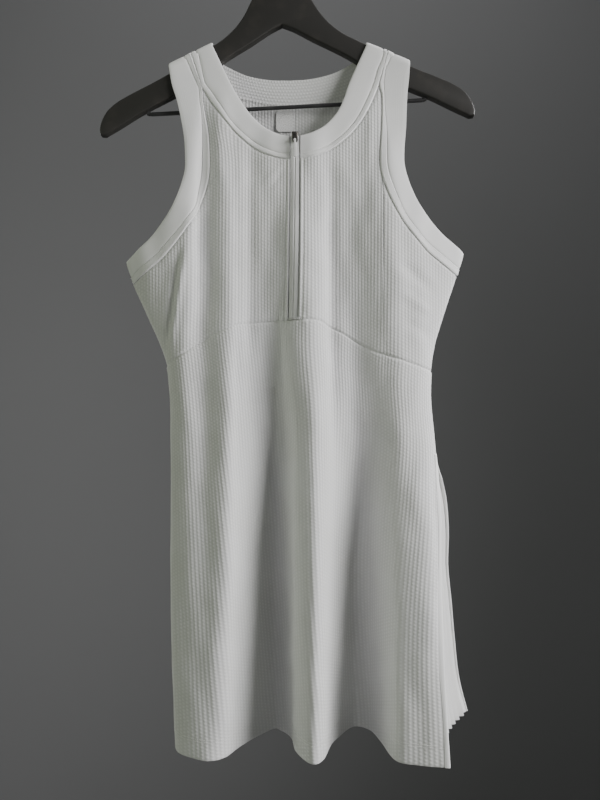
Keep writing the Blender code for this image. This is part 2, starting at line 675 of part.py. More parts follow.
def side_pleats():
    """Pleated inset that fills the slit, between the front panel's edge and the back panel's."""
    rows = []
    directions = []
    drops = np.linspace(PARTING_DROP, HEM_DROP, SLIT_ROWS + 1)
    drops[-1] -= INSET_HEM_LIFT
    for k, drop in enumerate(drops):
        overlap = INSET_OVERLAP * ease((drop - PARTING_DROP) / OVERLAP_OVER)
        ends = []
        for front, set_back in ((True, overlap), (False, 0.0)):
            column = sheet_columns(front) - INSET_SET_IN - set_back
            point = sheet_point(front, column, drop)
            inward = -sheet_normal(front, column, drop)
            ends.append(point + inward * (KNIT_WALL / 2 + INSET_CLEARANCE))
        start, end = ends
        span = end - start
        length = np.linalg.norm(span[:2])
        aside = np.array([span[1], -span[0], 0]) / length
        fold = length / (2 * PLEATS)
        depth = fold * (PLEAT_TOP_DEPTH + PLEAT_GAIN * (k / SLIT_ROWS) ** PLEAT_RISE)
        line = []
        for j in range(2 * PLEATS + 1):
            part = j / (2 * PLEATS)
            bow = -INSET_BOW * (length / INSET_LENGTH) * 4 * part * (1 - part)
            zigzag = 0.0 if part in (0.0, 1.0) else depth * (-1) ** j
            line.append(start + span * part + aside * (bow + zigzag))
        rows.append(line)
        directions.append([aside] * len(line))
    points = np.array(rows)
    normals = grid_normals(points, False)
    normals *= np.sign(np.sum(normals * np.array(directions), axis=-1, keepdims=True))
    mesh = cloth_mesh("side_pleats", points, normals, PLEAT_WALL)
    return add_object("side_pleats", mesh, principled("pleated knit", WHITE_SMOOTH, 0.75))


def zip_tape(side):
    """One tape of the zip, flat beside the centre line."""
    across = np.linspace(side * SEAM_GAP / 2, side * (ZIP_HALF_WIDTH - SEAM_GAP), 3)
    if side < 0:
        across = across[::-1]
    drop = np.linspace(ZIP_TOP_DROP, ZIP_END_DROP, ZIP_ROWS + 1)
    across, drop = np.meshgrid(across, drop)
    column = column_at(True, across, drop)
    points = sheet_point(True, column, drop)
    normals = sheet_normal(True, column, drop)
    name = "zip_tape_left" if side < 0 else "zip_tape_right"
    mesh = cloth_mesh(name, points, normals, TAPE_WALL)
    return add_object(name, mesh, principled(name, WHITE_SMOOTH, 0.6))


def zip_front():
    """Depth of the zip tape's front face at the slider."""
    drop = np.array([SLIDER_TOP_DROP, SLIDER_TOP_DROP + SLIDER_HEIGHT])
    column = column_at(True, np.zeros(2), drop)
    return float(sheet_plan(True, column, drop)[..., 1].min()) - TAPE_WALL / 2


def box_mesh(bm, low, high):
    """Adds a box between two corners, in millimetres."""
    made = bmesh.ops.create_cube(bm, size=1.0)["verts"]
    low, high = Vector(low), Vector(high)
    for vert in made:
        vert.co = Vector([low[k] + (vert.co[k] + 0.5) * (high[k] - low[k]) for k in range(3)]) * MM
    return made


def disc_outline(radius, count, start, end):
    """Points of an arc about the origin, in the YZ plane."""
    angles = [start + (end - start) * k / count for k in range(count + 1)]
    return [(radius * math.cos(a), radius * math.sin(a)) for a in angles]


def slider_and_pull():
    """Metal slider on the zip, and the tab that hinges on the pin between its two lugs."""
    face = zip_front() - SEAM_GAP
    metal = principled("slider metal", (0.20, 0.19, 0.17), 0.3, 0.9)
    bm = bmesh.new()
    low = (DRESS_CENTRE - SLIDER_WIDTH / 2, face - SLIDER_BODY, -SLIDER_TOP_DROP - SLIDER_HEIGHT)
    high = (DRESS_CENTRE + SLIDER_WIDTH / 2, face, -SLIDER_TOP_DROP)
    box_mesh(bm, low, high)
    for vert in bm.verts:
        if vert.co.z < (low[2] + SLIDER_ROUNDING) * MM:
            vert.co.x = DRESS_CENTRE * MM + (vert.co.x - DRESS_CENTRE * MM) * SLIDER_TAPER
    upright = [edge for edge in bm.edges if abs(edge.verts[0].co.y - edge.verts[1].co.y) > MM]
    bmesh.ops.bevel(bm, geom=upright, offset=SLIDER_ROUNDING * MM, segments=2, profile=0.5, affect="EDGES")
    slider = add_object("zip_slider", finish_mesh("zip_slider", bm), metal)

    pin_depth = face - SLIDER_BODY - PIN_LIFT
    lug_inside = TAB_EYE_WIDTH / 2 + SEAM_GAP
    bm = bmesh.new()
    for side in (-1, 1):
        first = DRESS_CENTRE + side * lug_inside
        second = DRESS_CENTRE + side * (lug_inside + LUG_WIDTH)
        box_mesh(bm, (min(first, second), pin_depth - LUG_HALF, -PIN_DROP - LUG_HALF),
                 (max(first, second), face - SLIDER_BODY + LUG_SUNK, -PIN_DROP + LUG_HALF))
    lugs = add_object("zip_lugs", finish_mesh("zip_lugs", bm), metal)
    lugs.hide_render = True
    lugs.display_type = "WIRE"
    bm = bmesh.new()
    bmesh.ops.create_cone(bm, cap_ends=True, segments=12, radius1=PIN_RADIUS * MM,
                          radius2=PIN_RADIUS * MM, depth=(2 * lug_inside + LUG_WIDTH) * MM)
    pin = add_object("zip_pin", finish_mesh("zip_pin", bm), metal)
    pin.rotation_euler = (0, math.pi / 2, 0)
    pin.location = Vector((DRESS_CENTRE, pin_depth, -PIN_DROP)) * MM
    pin.hide_render = True
    pin.display_type = "WIRE"
    for name, cutter in (("lugs", lugs), ("pin", pin)):
        union = slider.modifiers.new(name, "BOOLEAN")
        union.operation = "UNION"
        union.solver = "EXACT"
        union.object = cutter

    bm = bmesh.new()
    arc_from = math.asin(TAB_WALL / 2 / TAB_EYE_OUTER)
    outer = disc_outline(TAB_EYE_OUTER, 14, -math.pi / 2 + arc_from, 3 * math.pi / 2 - arc_from)
    bottom = -(TAB_END_DROP - PIN_DROP)
    outline = outer + [(-TAB_WALL / 2, bottom), (TAB_WALL / 2, bottom)]
    verts = [bm.verts.new(Vector((-TAB_EYE_WIDTH / 2, y, z)) * MM) for y, z in outline]
    profile = bm.faces.new(verts)
    pushed = bmesh.ops.extrude_face_region(bm, geom=[profile])["geom"]
    for item in pushed:
        if isinstance(item, bmesh.types.BMVert):
            item.co.x += TAB_EYE_WIDTH * MM
    pull = add_object("zip_pull", finish_mesh("zip_pull", bm, 35.0),
                      principled("pull tab", (0.82, 0.82, 0.80), 0.5))
    pull.location = Vector((DRESS_CENTRE, pin_depth, -PIN_DROP)) * MM
    bm = bmesh.new()
    plate_half = TAB_WALL / 2 + PLATE_THICKER
    box_mesh(bm, (-TAB_WIDTH / 2, -plate_half, bottom - PLATE_LONGER),
             (TAB_WIDTH / 2, plate_half, -(TAB_EYE_OUTER + PLATE_BELOW_EYE)))
    flat = [edge for edge in bm.edges if abs(edge.verts[0].co.y - edge.verts[1].co.y) > MM]
    bmesh.ops.bevel(bm, geom=flat, offset=TAB_ROUNDING * MM, segments=3, profile=0.5, affect="EDGES")
    tab = add_object("zip_tab_plate", finish_mesh("zip_tab_plate", bm, 35.0), metal)
    bm = bmesh.new()
    bmesh.ops.create_cone(bm, cap_ends=True, segments=16, radius1=TAB_EYE_RADIUS * MM,
                          radius2=TAB_EYE_RADIUS * MM, depth=4 * TAB_EYE_WIDTH * MM)
    eye = add_object("zip_eye", finish_mesh("zip_eye", bm), metal)
    eye.rotation_euler = (0, math.pi / 2, 0)
    for name, operation, cutter in (("plate", "UNION", tab), ("eye", "DIFFERENCE", eye)):
        cutter.location = Vector((DRESS_CENTRE, pin_depth, -PIN_DROP)) * MM
        cutter.hide_render = True
        cutter.display_type = "WIRE"
        cut = pull.modifiers.new(name, "BOOLEAN")
        cut.operation = operation
        cut.solver = "EXACT"
        cut.object = cutter


def neck_label():
    """Bare label that hangs from the back neck seam."""
    across = np.linspace(LABEL_CENTRE - LABEL_WIDTH / 2, LABEL_CENTRE + LABEL_WIDTH / 2, 5)
    drop = np.linspace(LABEL_TOP_DROP, LABEL_END_DROP, 6)
    across, drop = np.meshgrid(across, drop)
    column = column_at(False, across, drop)
    points = sheet_point(False, column, drop)
    normals = sheet_normal(False, column, drop)
    swing = LABEL_SWING * (drop - LABEL_TOP_DROP) / (LABEL_END_DROP - LABEL_TOP_DROP)
    inset = KNIT_WALL / 2 + SEAM_GAP + LABEL_WALL / 2
    points = points - normals * (inset + swing[..., None])
    mesh = cloth_mesh("neck_label", points, normals, LABEL_WALL)
    return add_object("neck_label", mesh, principled("label", (0.86, 0.86, 0.85), 0.5))


def inset_outline(outline, inset):
    """A closed outline drawn inwards by a small distance."""
    way = np.roll(outline, -1, axis=0) - np.roll(outline, 1, axis=0)
    way = way / np.linalg.norm(way, axis=-1, keepdims=True)
    return outline + np.stack([-way[:, 1], way[:, 0]], axis=-1) * inset


def hanger_board(parent):
    """Flat arched board with rounded edges, built up from front to back in rounded layers."""
    top = board_outline(BOARD_TOP, BOARD_STEPS)
    bottom = board_outline(BOARD_BOTTOM, BOARD_STEPS)
    right = np.concatenate([top, bottom])
    outline = np.concatenate([right, right[::-1][1:-1] * (-1, 1)])
    flat = BOARD_THICKNESS / 2 - BOARD_ROUNDING
    turns = np.radians(np.linspace(0, 90, ROUNDING_STEPS + 1))
    front = [(-flat - BOARD_ROUNDING * math.cos(a), BOARD_ROUNDING * (1 - math.sin(a))) for a in turns]
    layers = front + [(-depth, inset) for depth, inset in front[::-1]]
    bm = bmesh.new()
    place = bm.verts.layers.int.new("place")
    face = bm.faces.new([bm.verts.new((x, 0, -drop)) for x, drop in outline])
    for index, vert in enumerate(face.verts):
        vert[place] = index
    for number, (depth, inset) in enumerate(layers):
        if number:
            behind = face
            pushed = bmesh.ops.extrude_face_region(bm, geom=[behind])["geom"]
            face = [item for item in pushed if isinstance(item, bmesh.types.BMFace)][0]
            if number > 1:
                bmesh.ops.delete(bm, geom=[behind], context="FACES_ONLY")
        points = inset_outline(outline, inset)
        for vert in face.verts:
            across, drop = points[vert[place]]
            vert.co = Vector((across, depth, -drop)) * MM
    mesh = finish_mesh("hanger_board", bm, 60.0)
    return add_object("hanger_board", mesh, principled("black board", (0.012, 0.012, 0.011), 0.45), parent)


def wire(name, route, diameter, material, parent):
    """Round wire along a route, in millimetres."""
    curve = bpy.data.curves.new(name, "CURVE")
    curve.dimensions = "3D"
    curve.bevel_depth = diameter / 2 * MM
    curve.bevel_resolution = 2
    curve.use_fill_caps = True
    spline = curve.splines.new("POLY")
    spline.points.add(len(route) - 1)
    for point, place in zip(spline.points, route):
        point.co = (*(Vector(place) * MM), 1.0)
    curve.materials.append(material)
    piece = bpy.data.objects.new(name, curve)
    bpy.context.scene.collection.objects.link(piece)
    piece.parent = parent
    return piece


def hanger_hook(parent):
    """Steel hook. Its inside top is the origin."""
    ring = HOOK_RADIUS
    centre = HOOK_WIRE / 2 - ring
    arc = [(ring * math.cos(a), 0, centre + ring * math.sin(a))
           for a in np.radians(np.linspace(HOOK_START, HOOK_END, HOOK_STEPS))]
    shank = [(0, 0, -BOARD_TOP[0][1] + REST_GAP)] + [(x, 0, z) for x, z in HOOK_SHANK]
    route = shank + arc
    metal = principled("hook steel", (0.55, 0.55, 0.56), 0.25, 1.0)
    return wire("hanger_hook", route, HOOK_WIRE, metal, parent)


def hanger_bar(parent):
    """Thin trouser bar whose ends turn up into the board's underside."""
    lower = board_outline(BOARD_BOTTOM, BOARD_STEPS)[::-1]
    end_drop = float(np.interp(BAR_END_ACROSS, lower[:, 0], lower[:, 1])) + BAR_END_GAP
    half = BAR_HALF + ((BAR_END_ACROSS, end_drop),)
    route = [(x, 0, -drop) for x, drop in half[::-1]] + [(-x, 0, -drop) for x, drop in half[1:]]
    return wire("hanger_bar", route, BAR_WIRE, principled("bar", (0.05, 0.05, 0.05), 0.35, 0.6), parent)


def build():
    """Removes what the scene holds and builds every piece."""
    for old in list(bpy.data.objects):
        bpy.data.objects.remove(old, do_unlink=True)
    for side in (-1, 1):
        front_bodice(side)
        armband(side)
        zip_tape(side)
    back_bodice()
    skirt(True)
    skirt(False)
    neckband()
    side_pleats()
    slider_and_pull()
    neck_label()
    hanger = bpy.data.objects.new("hanger_tilt", None)
    bpy.context.scene.collection.objects.link(hanger)
    hanger.rotation_euler = (0, -HANGER_TILT, 0)
    hanger_board(hanger)
    hanger_hook(hanger)
    hanger_bar(hanger)


build()
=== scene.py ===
"""Looks of the sleeveless half-zip tennis dress on its hanger.

The cloth is laid out from the same folds, seams and edges as the frame's solids, with finer
points, and with the ribs, creases, grooves and stitches that a maker would see up close. Lengths
in the tables are millimetres. "Across" is the distance from the dress's centre line, "drop" the
distance below the inside top of the hook, and "depth" the distance behind the hook.
"""
import math

import bmesh
import bpy
import numpy as np
from mathutils import Matrix, Vector


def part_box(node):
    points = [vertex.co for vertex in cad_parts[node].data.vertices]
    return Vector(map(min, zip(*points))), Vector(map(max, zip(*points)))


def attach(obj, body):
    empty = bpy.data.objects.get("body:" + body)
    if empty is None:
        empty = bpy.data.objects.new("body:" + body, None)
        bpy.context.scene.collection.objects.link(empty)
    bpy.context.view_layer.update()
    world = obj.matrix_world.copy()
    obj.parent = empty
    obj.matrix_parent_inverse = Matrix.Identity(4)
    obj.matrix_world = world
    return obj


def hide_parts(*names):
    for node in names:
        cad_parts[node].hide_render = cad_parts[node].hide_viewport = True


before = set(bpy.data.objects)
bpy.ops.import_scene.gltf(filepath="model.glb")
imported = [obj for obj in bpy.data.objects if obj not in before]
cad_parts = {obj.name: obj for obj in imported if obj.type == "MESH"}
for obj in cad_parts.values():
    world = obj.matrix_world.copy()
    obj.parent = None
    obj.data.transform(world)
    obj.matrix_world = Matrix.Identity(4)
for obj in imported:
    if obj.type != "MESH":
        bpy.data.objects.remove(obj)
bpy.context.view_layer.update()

MM = 0.001

# Cloth
KNIT_WALL = 1.5
BAND_WALL = 2.0
PLEAT_WALL = 1.0
TAPE_WALL = 1.2
LABEL_WALL = 0.9
REST_GAP = 0.4

# The dress as it hangs on the hanger
DRESS_CENTRE = 21.8
SHOULDER_LEAN = -6.5
LEAN_FROM, LEAN_OVER = 175.0, 88.0
ARM_TILT = 0.025
TILT_FROM, TILT_OVER = 430.0, 110.0
HEM_DROP = 967.0
ZIP_HALF_WIDTH = 6.5
ZIP_TOP_DROP, ZIP_END_DROP = 266.0, 480.5
# Zip tape: its width, how far it starts above the zip's top and from the middle, how far it lies
# behind the cloth, and how it tucks in behind the bodice before the zip's edge
TAPE_WIDTH, TAPE_ABOVE, TAPE_GAP, TAPE_BEHIND = 11.5, 0.4, 0.06, 0.1
TAPE_TUCK, TUCK_BEFORE, TUCK_OVER = 1.5, 2.2, 1.6

# Slider: its thickness, and its waist as a share of its width
SLIDER_THICKNESS, SLIDER_WAIST = 2.2, 0.66

# The pull tab, from its pin: the eye's radius, the wall, half of the outline and the cross ribs
TAB_EYE, TAB_WALL = 1.7, 1.6
TAB_SIDE = ((1.6, -3.6), (2.3, -5.2), (2.5, -8.0), (2.5, -17.6), (1.9, -19.2))
TAB_RIBS = (-9.2, -11.4, -13.6)

# The label, with its left and right sides, its top and bottom, and its clipped corners. It lies
# this far in front of the cloth, and its foot swings further out.
LABEL_SIDES, LABEL_ENDS, LABEL_CLIP = (-22.5, -2.5), (226.5, 252.0), 3.2
LABEL_CLEARANCE, LABEL_SWING = 0.3, 1.5

# The hanger
HANGER_TILT = math.radians(3.0)
BOARD_THICKNESS = 12.0
BOARD_ROUNDING = 2.0
HOOK_WIRE = 4.0
HOOK_RADIUS = 20.0
HOOK_SHANK = ((0, -56), (1.2, -50), (4.5, -43.5), (10, -37), (15.4, -31))
HOOK_START, HOOK_END = -20.0, 205.0
BAR_WIRE = 4.8
BAR_HALF = ((0, 227), (55, 227), (110, 227), (155, 227), (160.5, 226.85), (163.2, 226))
BAR_END_ACROSS, BAR_END_GAP = 164.0, 1.9

# How the shoulder straps lie over the board
SHOULDER_SLOPE = math.radians(29.0)
STRAP_REACH = BOARD_THICKNESS / 2 + REST_GAP + BAND_WALL / 2
OVER_CENTRE = BOARD_ROUNDING / math.cos(SHOULDER_SLOPE)
OVER_RADIUS = STRAP_REACH - (BOARD_THICKNESS / 2 - BOARD_ROUNDING)
STRAP_LIFT = ((-148, 9.0), (-121, 5.0), (-96, 1.0), (83, 0.0), (108, 3.0), (135, 3.5))
CLING_DROP, CLING_OVER = 245.0, 50.0

# Heights at which the folds are given: yoke, bust, waist, hip, hem
FOLD_DROPS = (230.0, 430.0, 560.0, 760.0, HEM_DROP)

# Front folds: name, then across and depth at the yoke, bust, waist, hip and hem
FRONT_FOLDS = (
    ("left roll", (-121, -13), (-132, -24), (-129, -26), (-122, -42), (-117, -56)),
    ("left dip", (-104, -11), (-109, -16), (-102, -25), (-98, -50), (-97, -65)),
    ("left crest", (-86, -15), (-78, -24), (-77, -36), (-75, -56), (-77, -57)),
    ("left flank", (-69, -13), (-62, -20), (-62, -28), (-60, -36), (-61, -29)),
    ("left valley", (-42, -12), (-39, -15), (-33, -12), (-31, 2), (-29, 15)),
    ("left valley end", (-26, -12), (-21, -17), (-15, -14), (-13, -6), (-16, 10)),
    ("centre wall foot", (-10, -12), (-7, -21), (-5, -22), (-4, -24), (-4, -9)),
    ("centre wall head", (6, -13), (6, -24), (5, -31), (2, -44), (2, -44)),
    ("centre crest", (20, -14), (18, -25), (20, -38), (20, -60), (18, -72)),
    ("centre crest end", (37, -13), (32, -22), (34, -32), (33, -50), (32, -62)),
    ("centre flank", (53, -12), (45, -17), (47, -22), (46, -18), (45, -17)),
    ("right valley", (67, -12), (60, -14), (67, -14), (68, 6), (69, 21)),
    ("right valley end", (79, -12), (79, -16), (86, -15), (87, -2), (89, 13)),
    ("right wall", (91, -12), (99, -20), (104, -21), (101, -24), (100, -19)),
    ("right crest", (102, -11), (122, -23), (123, -27), (119, -46), (113, -66)),
    ("right face", (116, -10), (151, -19), (142, -23), (144, -53), (142, -77)),
)

# Back folds, from left to right, in the same columns
BACK_FOLDS = (
    ("left turn", (-122, 13), (-165, 18), (-134, 18), (-141, 8), (-137, -5)),
    ("left back roll", (-105, 12), (-120, 22), (-112, 27), (-121, 36), (-124, 36)),
    ("left back crest", (-80, 12), (-88, 20), (-86, 27), (-92, 46), (-94, 60)),
    ("left back valley", (-50, 13), (-52, 17), (-52, 20), (-52, 24), (-52, 34)),
    ("middle back crest", (-20, 12), (-20, 20), (-18, 27), (-15, 42), (-12, 62)),
    ("middle back valley", (15, 12), (15, 16), (18, 18), (24, 22), (30, 32)),
    ("right back crest", (55, 13), (55, 20), (58, 27), (66, 46), (76, 66)),
    ("right back valley", (85, 12), (95, 17), (92, 19), (104, 34), (122, 46)),
    ("right back roll", (115, 12), (135, 21), (125, 24), (142, 44), (170, 68)),
    ("right turn", (128, 12), (168, 18), (146, 18), (172, 34), (204, 72)),
)

# Side seams: drop, across, depth. Below the slit the right one is the front panel's free edge.
LEFT_SIDE = (
    (160, -175, 0), (330, -195, 0), (409, -198, 0), (435, -189.5, 0), (455, -181, -1), (478, -171, -2),
    (502, -160.5, -3), (525, -152, -4), (560, -146.5, -6), (620, -144, -12), (690, -142.5, -18),
    (760, -141.5, -24), (830, -139.5, -30), (967, -133.5, -39),
)
RIGHT_SIDE = (
    (160, 175, 0), (330, 195, 0), (399, 198, 0), (425, 190.5, 0), (455, 180.5, -1), (478, 173, -2),
    (502, 166, -3), (525, 161.5, -4), (560, 158.5, -6), (620, 162.5, -10), (690, 166, -27),
    (760, 164, -42), (830, 163, -57), (967, 166.5, -81),
)
SIDE_LIFT, LIFT_FROM, LIFT_OVER = 10.0, 392.0, 80.0
SLIT_DROP = 620.0
SLIT_OPEN_DROP = 700.0
PARTING_DROP, PARTING_OVER = 641.0, 24.0
BACK_RIGHT_SIDE = RIGHT_SIDE[:9] + (
    (620, 162.5, -10), (650, 168, -8), (690, 178.5, 4), (725, 182.5, 11), (773, 184, 22),
    (816, 189.5, 31), (867, 196, 42), (921, 204.5, 55), (967, 218, 70),
)

# The pleated inset hangs inside both panels
INSET_SET_IN = 0.1
INSET_OVERLAP, OVERLAP_OVER = 0.4, 100.0
INSET_CLEARANCE = 0.9
INSET_LENGTH = 155.0
INSET_BOW = 10.0
INSET_HEM_LIFT = 0.5
PLEATS = 11
PARTS_A_SIDE = 5
PLEAT_TOP_DEPTH, PLEAT_GAIN, PLEAT_RISE = 0.05, 0.45, 0.7
# How sharp the pleats' edges are, up to 1
PLEAT_EDGE = 0.985

# Binding of the slit: how far it starts above the opening, its wall, how it swells in slow waves,
# its opened width in metres, and its profile as the distance in from the edge and from the cloth's
# middle. The way in from the edge is read this many columns from it.
BINDING_ABOVE, BINDING_WALL = 6.0, 0.7
BINDING_SWELL, BINDING_WAVE = 0.25, 31.0
BINDING_OPENED = 0.011
COLUMNS_IN = 0.12
BINDING_PROFILE = (
    (5.0, 0.8), (3.0, 1.1), (0.4, 1.1), (-0.55, 0.54), (-0.75, 0.0), (-0.55, -0.54), (0.4, -1.1),
    (3.0, -1.1), (5.0, -0.8),
)

# Neck band, one half of the front from the zip to the shoulder: place, edge, seam
NECK_FRONT = (
    ("centre", (6.5, 265.5), (6.5, 292.5)),
    ("low curve", (21, 261.8), (24, 289)),
    ("curve", (36, 253.3), (44, 280)),
    ("side curve", (50, 239), (66, 262.5)),
    ("rise", (60, 222), (84.5, 239)),
    ("wedge tip", (70, 200), (104.3, 202)),
    ("shoulder", (90, 0), (114.7, 0)),
)
# The same for one half of the back, from the shoulder to the centre
NECK_BACK = (
    ("shoulder", (90, 0), (114.7, 0)),
    ("wedge tip", (82, 168.5), (104.3, 196)),
    ("slope", (70, 176.5), (86, 205)),
    ("curve", (50, 185.8), (58, 212)),
    ("flat", (25, 191.2), (29, 218.5)),
    ("centre", (0, 192.5), (0, 221)),
)
# Armhole band, from the shoulder to the side seam: place, edge, seam
ARM_ROWS = (
    ("shoulder", (141, 0), (114.7, 0)),
    ("wedge tip", (138.5, 200), (104.3, 202)),
    ("strap", (134, 222), (104.8, 222)),
    ("strap end", (129.5, 257), (101, 257)),
    ("inmost", (127.2, 286), (99.2, 288)),
    ("turn", (128, 306), (100.5, 312)),
    ("low", (136.5, 333), (110.7, 343.5)),
    ("lower", (149, 356), (126, 372)),
    ("under", (169, 380), (149, 399.5)),
    ("under end", (184.7, 393), (167, 414.5)),
    ("side seam", (198, 404), (189.5, 430)),
)
ARM_BACK_TIP = ("wedge tip", (139, 195), (104.3, 196))

# Seam between bodice and skirt: across, drop
FRONT_SEAM = (
    (-150, 532), (-110, 507), (-71, 487), (-30, 482), (0, 481), (29, 482.5), (52, 494),
    (75, 508), (121, 526), (160, 539),
)
BACK_SEAM = ((-150, 532), (-75, 512), (0, 505), (75, 514), (160, 539))

# Hanger board: right half of the upper outline and of the lower one, across and drop
BOARD_TOP = (
    (0, 70), (12, 71.5), (20, 77), (27, 88), (35, 102), (44, 118), (56, 133), (72, 146), (90, 156),
    (110, 167.5), (132, 180), (155, 191.5), (177, 201.5), (197, 211.5), (210, 221.5), (217, 232),
    (220.5, 243), (219.5, 250),
)
BOARD_BOTTOM = (
    (214.5, 250.5), (196.5, 241), (172, 227.5), (150, 217), (128, 207), (105, 193.5), (72, 171),
    (36, 151), (15, 138.5), (0, 131.5),
)

# Soft troughs (negative) and ridges: sheet, start and end as (across, drop), half width, height
CREASES = (
    ("drag at left waist", "front", (-151, 530), (-131, 392), 4.6, -3.2),
    ("ridge beside it", "front", (-145, 532), (-124, 378), 5.0, 2.8),
    ("bust valley, left", "front", (-52, 240), (-52, 600), 7.0, -2.4),
    ("middle of the bust", "front", (8, 300), (6, 640), 25.0, 6.2),
    ("bust valley, right", "front", (41, 250), (44, 640), 8.0, -3.6),
    ("right of the bust", "front", (102, 262), (104, 640), 34.0, 7.2),
    ("drag under left arm", "front", (-160, 447), (-112, 372), 9.0, -1.5),
    ("left bust roll", "front", (-119, 330), (-117, 500), 8.0, 1.6),
    ("left bust trough", "front", (-100, 300), (-99, 505), 7.0, -1.6),
    ("neck to bust, left", "front", (-60, 285), (-84, 425), 9.0, 1.2),
    ("beside the zip, left", "front", (-24, 318), (-31, 455), 8.0, -1.0),
    ("from the zip's top", "front", (-13, 300), (-40, 322), 2.6, 0.6),
    ("under it", "front", (-12, 307), (-33, 331), 2.2, -0.5),
    ("pucker at the zip's end", "front", (-9, 470), (-17, 489), 2.4, 0.9),
    ("pucker below it", "front", (-5, 478), (-9, 496), 2.0, -0.6),
    ("pucker on the right", "front", (8, 473), (15, 488), 2.4, 0.7),
    ("neck to bust, right", "front", (66, 290), (84, 440), 9.0, 1.0),
    ("drag under right arm", "front", (166, 452), (112, 408), 7.0, -1.7),
    ("second drag, right", "front", (160, 474), (118, 446), 6.0, 1.4),
    ("third drag, right", "front", (158, 500), (122, 480), 6.5, -1.2),
    ("left yoke", "front", (-92, 228), (-84, 330), 5.0, 0.9),
    ("right yoke", "front", (88, 224), (86, 318), 5.0, 0.9),
    ("left hip", "front", (-120, 560), (-112, 700), 9.0, 1.0),
    ("left skirt edge", "front", (-140, 590), (-133, 690), 5.0, -0.9),
    ("right hip", "front", (140, 560), (132, 690), 9.0, -1.2),
    ("right edge roll", "front", (151, 600), (154, 900), 6.0, 1.3),
    ("low left", "front", (-90, 800), (-84, 940), 10.0, 0.9),
    ("low right", "front", (126, 790), (124, 950), 10.0, -1.0),
    ("back yoke, left", "back", (-70, 230), (-86, 330), 8.0, 1.2),
    ("back yoke, right", "back", (66, 226), (86, 340), 8.0, 1.1),
    ("back drag, left", "back", (-158, 452), (-92, 402), 8.0, -1.8),
    ("back drag, left low", "back", (-150, 486), (-86, 462), 7.0, 1.5),
    ("back drag, right", "back", (164, 456), (104, 416), 8.0, -1.7),
    ("back drag, right low", "back", (158, 500), (96, 470), 7.5, 1.4),
    ("small of the back", "back", (-62, 470), (44, 486), 7.0, -1.5),
    ("above the seam", "back", (-30, 447), (70, 440), 6.0, 1.0),
    ("back hip, left", "back", (-104, 560), (-96, 700), 9.0, -1.0),
    ("back hip, right", "back", (112, 570), (120, 700), 9.0, 1.1),
    ("back low", "back", (20, 790), (24, 930), 9.0, 0.9),
)
# Slow unevenness of the hanging cloth: waves across and down, height
DRIFTS = ((47.0, 160.0, 0.45), (29.0, 97.0, 0.3), (71.0, 61.0, 0.25))
# The waves grow from this drop, over this length, and all creases fade out this many columns
# before a side seam
LOOSE_FROM, LOOSE_OVER = 230.0, 60.0
EDGE_COLUMNS = 0.35

# Knit
RIB_PITCH = 3.7
RIB_COLUMNS = 4
RIB_HEIGHT = 0.2
CELL_HEIGHT = 3.9
SKIRT_RIBS = 96
SKIRT_ROW = 4.3
BODICE_UPPER_ROWS = 26
BODICE_LOWER_ROWS = 50
# The row of a bodice half that both its parts share sags by at least this, and stays below the neck
MIDDLE_SAG = 42.0
BELOW_NECK = 46.0
# Columns lean towards the armhole over this width, and stop short of the corner at the side seam
LEAN_WIDTH = 45.0
CORNER_CUT = 0.5
# Number of columns that stretch to reach a side seam
SEAM_STRETCH = 1.2
# Rows crowd together at a seam or a hem, at these distances from it
SEAM_ROWS = (0.0, 0.7, 1.5, 2.6, 4.2)
HEM_DEPTH = 19.0
# Ribs fade over this distance beside a seam, the hem and the roll at the zip
SEAM_FADE, HEM_FADE, ZIP_FADE = 3.0, 2.5, 2.0
ZIP_ROLL_WIDTH = 3.0
# Grooves and rolls along an edge: distance from it, half width, height
SEAM_GROOVE = ((0.0, 1.4, -1.1),)
HEM_GROOVES = ((HEM_DEPTH, 2.0, -0.3), (0.0, 0.9, -0.35))
ZIP_EDGE_ROLL = ((1.0, 1.1, 0.75), (3.4, 0.9, -0.45))
TAPE_ROLL = ((1.2, 0.8, 0.35), (0.0, 0.35, -0.45))
TAPE_SINK, SINK_FROM, SINK_OVER = 0.25, 3.0, 2.0

# Bands: place across from the free edge (0) to the seam (1), and height there
NECK_PROFILE = (
    (0.0, -0.55), (0.02, -0.15), (0.06, 0.1), (0.2, 0.2), (0.4, 0.22), (0.6, 0.15), (0.73, 0.05),
    (0.765, -0.2), (0.79, -0.62), (0.815, -0.15), (0.85, 0.3), (0.9, 0.42), (0.95, 0.4), (0.98, 0.1),
    (1.0, -0.5),
)
ARM_PROFILE = (
    (0.0, -0.55), (0.02, -0.15), (0.06, 0.1), (0.2, 0.2), (0.4, 0.2), (0.55, 0.1), (0.63, 0.02),
    (0.665, -0.2), (0.69, -0.6), (0.715, -0.12), (0.76, 0.25), (0.84, 0.3), (0.92, 0.42), (0.965, 0.5),
    (0.985, 0.2), (1.0, -0.5),
)
# Steps between two rows of a band's table, over the board, and along a bodice half's seams
BAND_STEPS = 8
OVER_STEPS = 22
SEAM_STEPS = 12

# Studio, in metres, degrees and watts
FLOOR_LEVEL, BACKDROP_DISTANCE, PAPER_REACH = -2.1, 1.9, 3.5
LIT_PLACE = (0.02, -0.03, -0.6)
WASHED_PLACE = (0.0, 1.9, -0.5)
AIR_COLOUR, AIR_STRENGTH = (0.95, 0.97, 1.0, 1.0), 0.05
CAMERA_PLACE, CAMERA_LENS, CAMERA_SENSOR = (0.0277, -0.9, -0.572), 34.32, 36.0
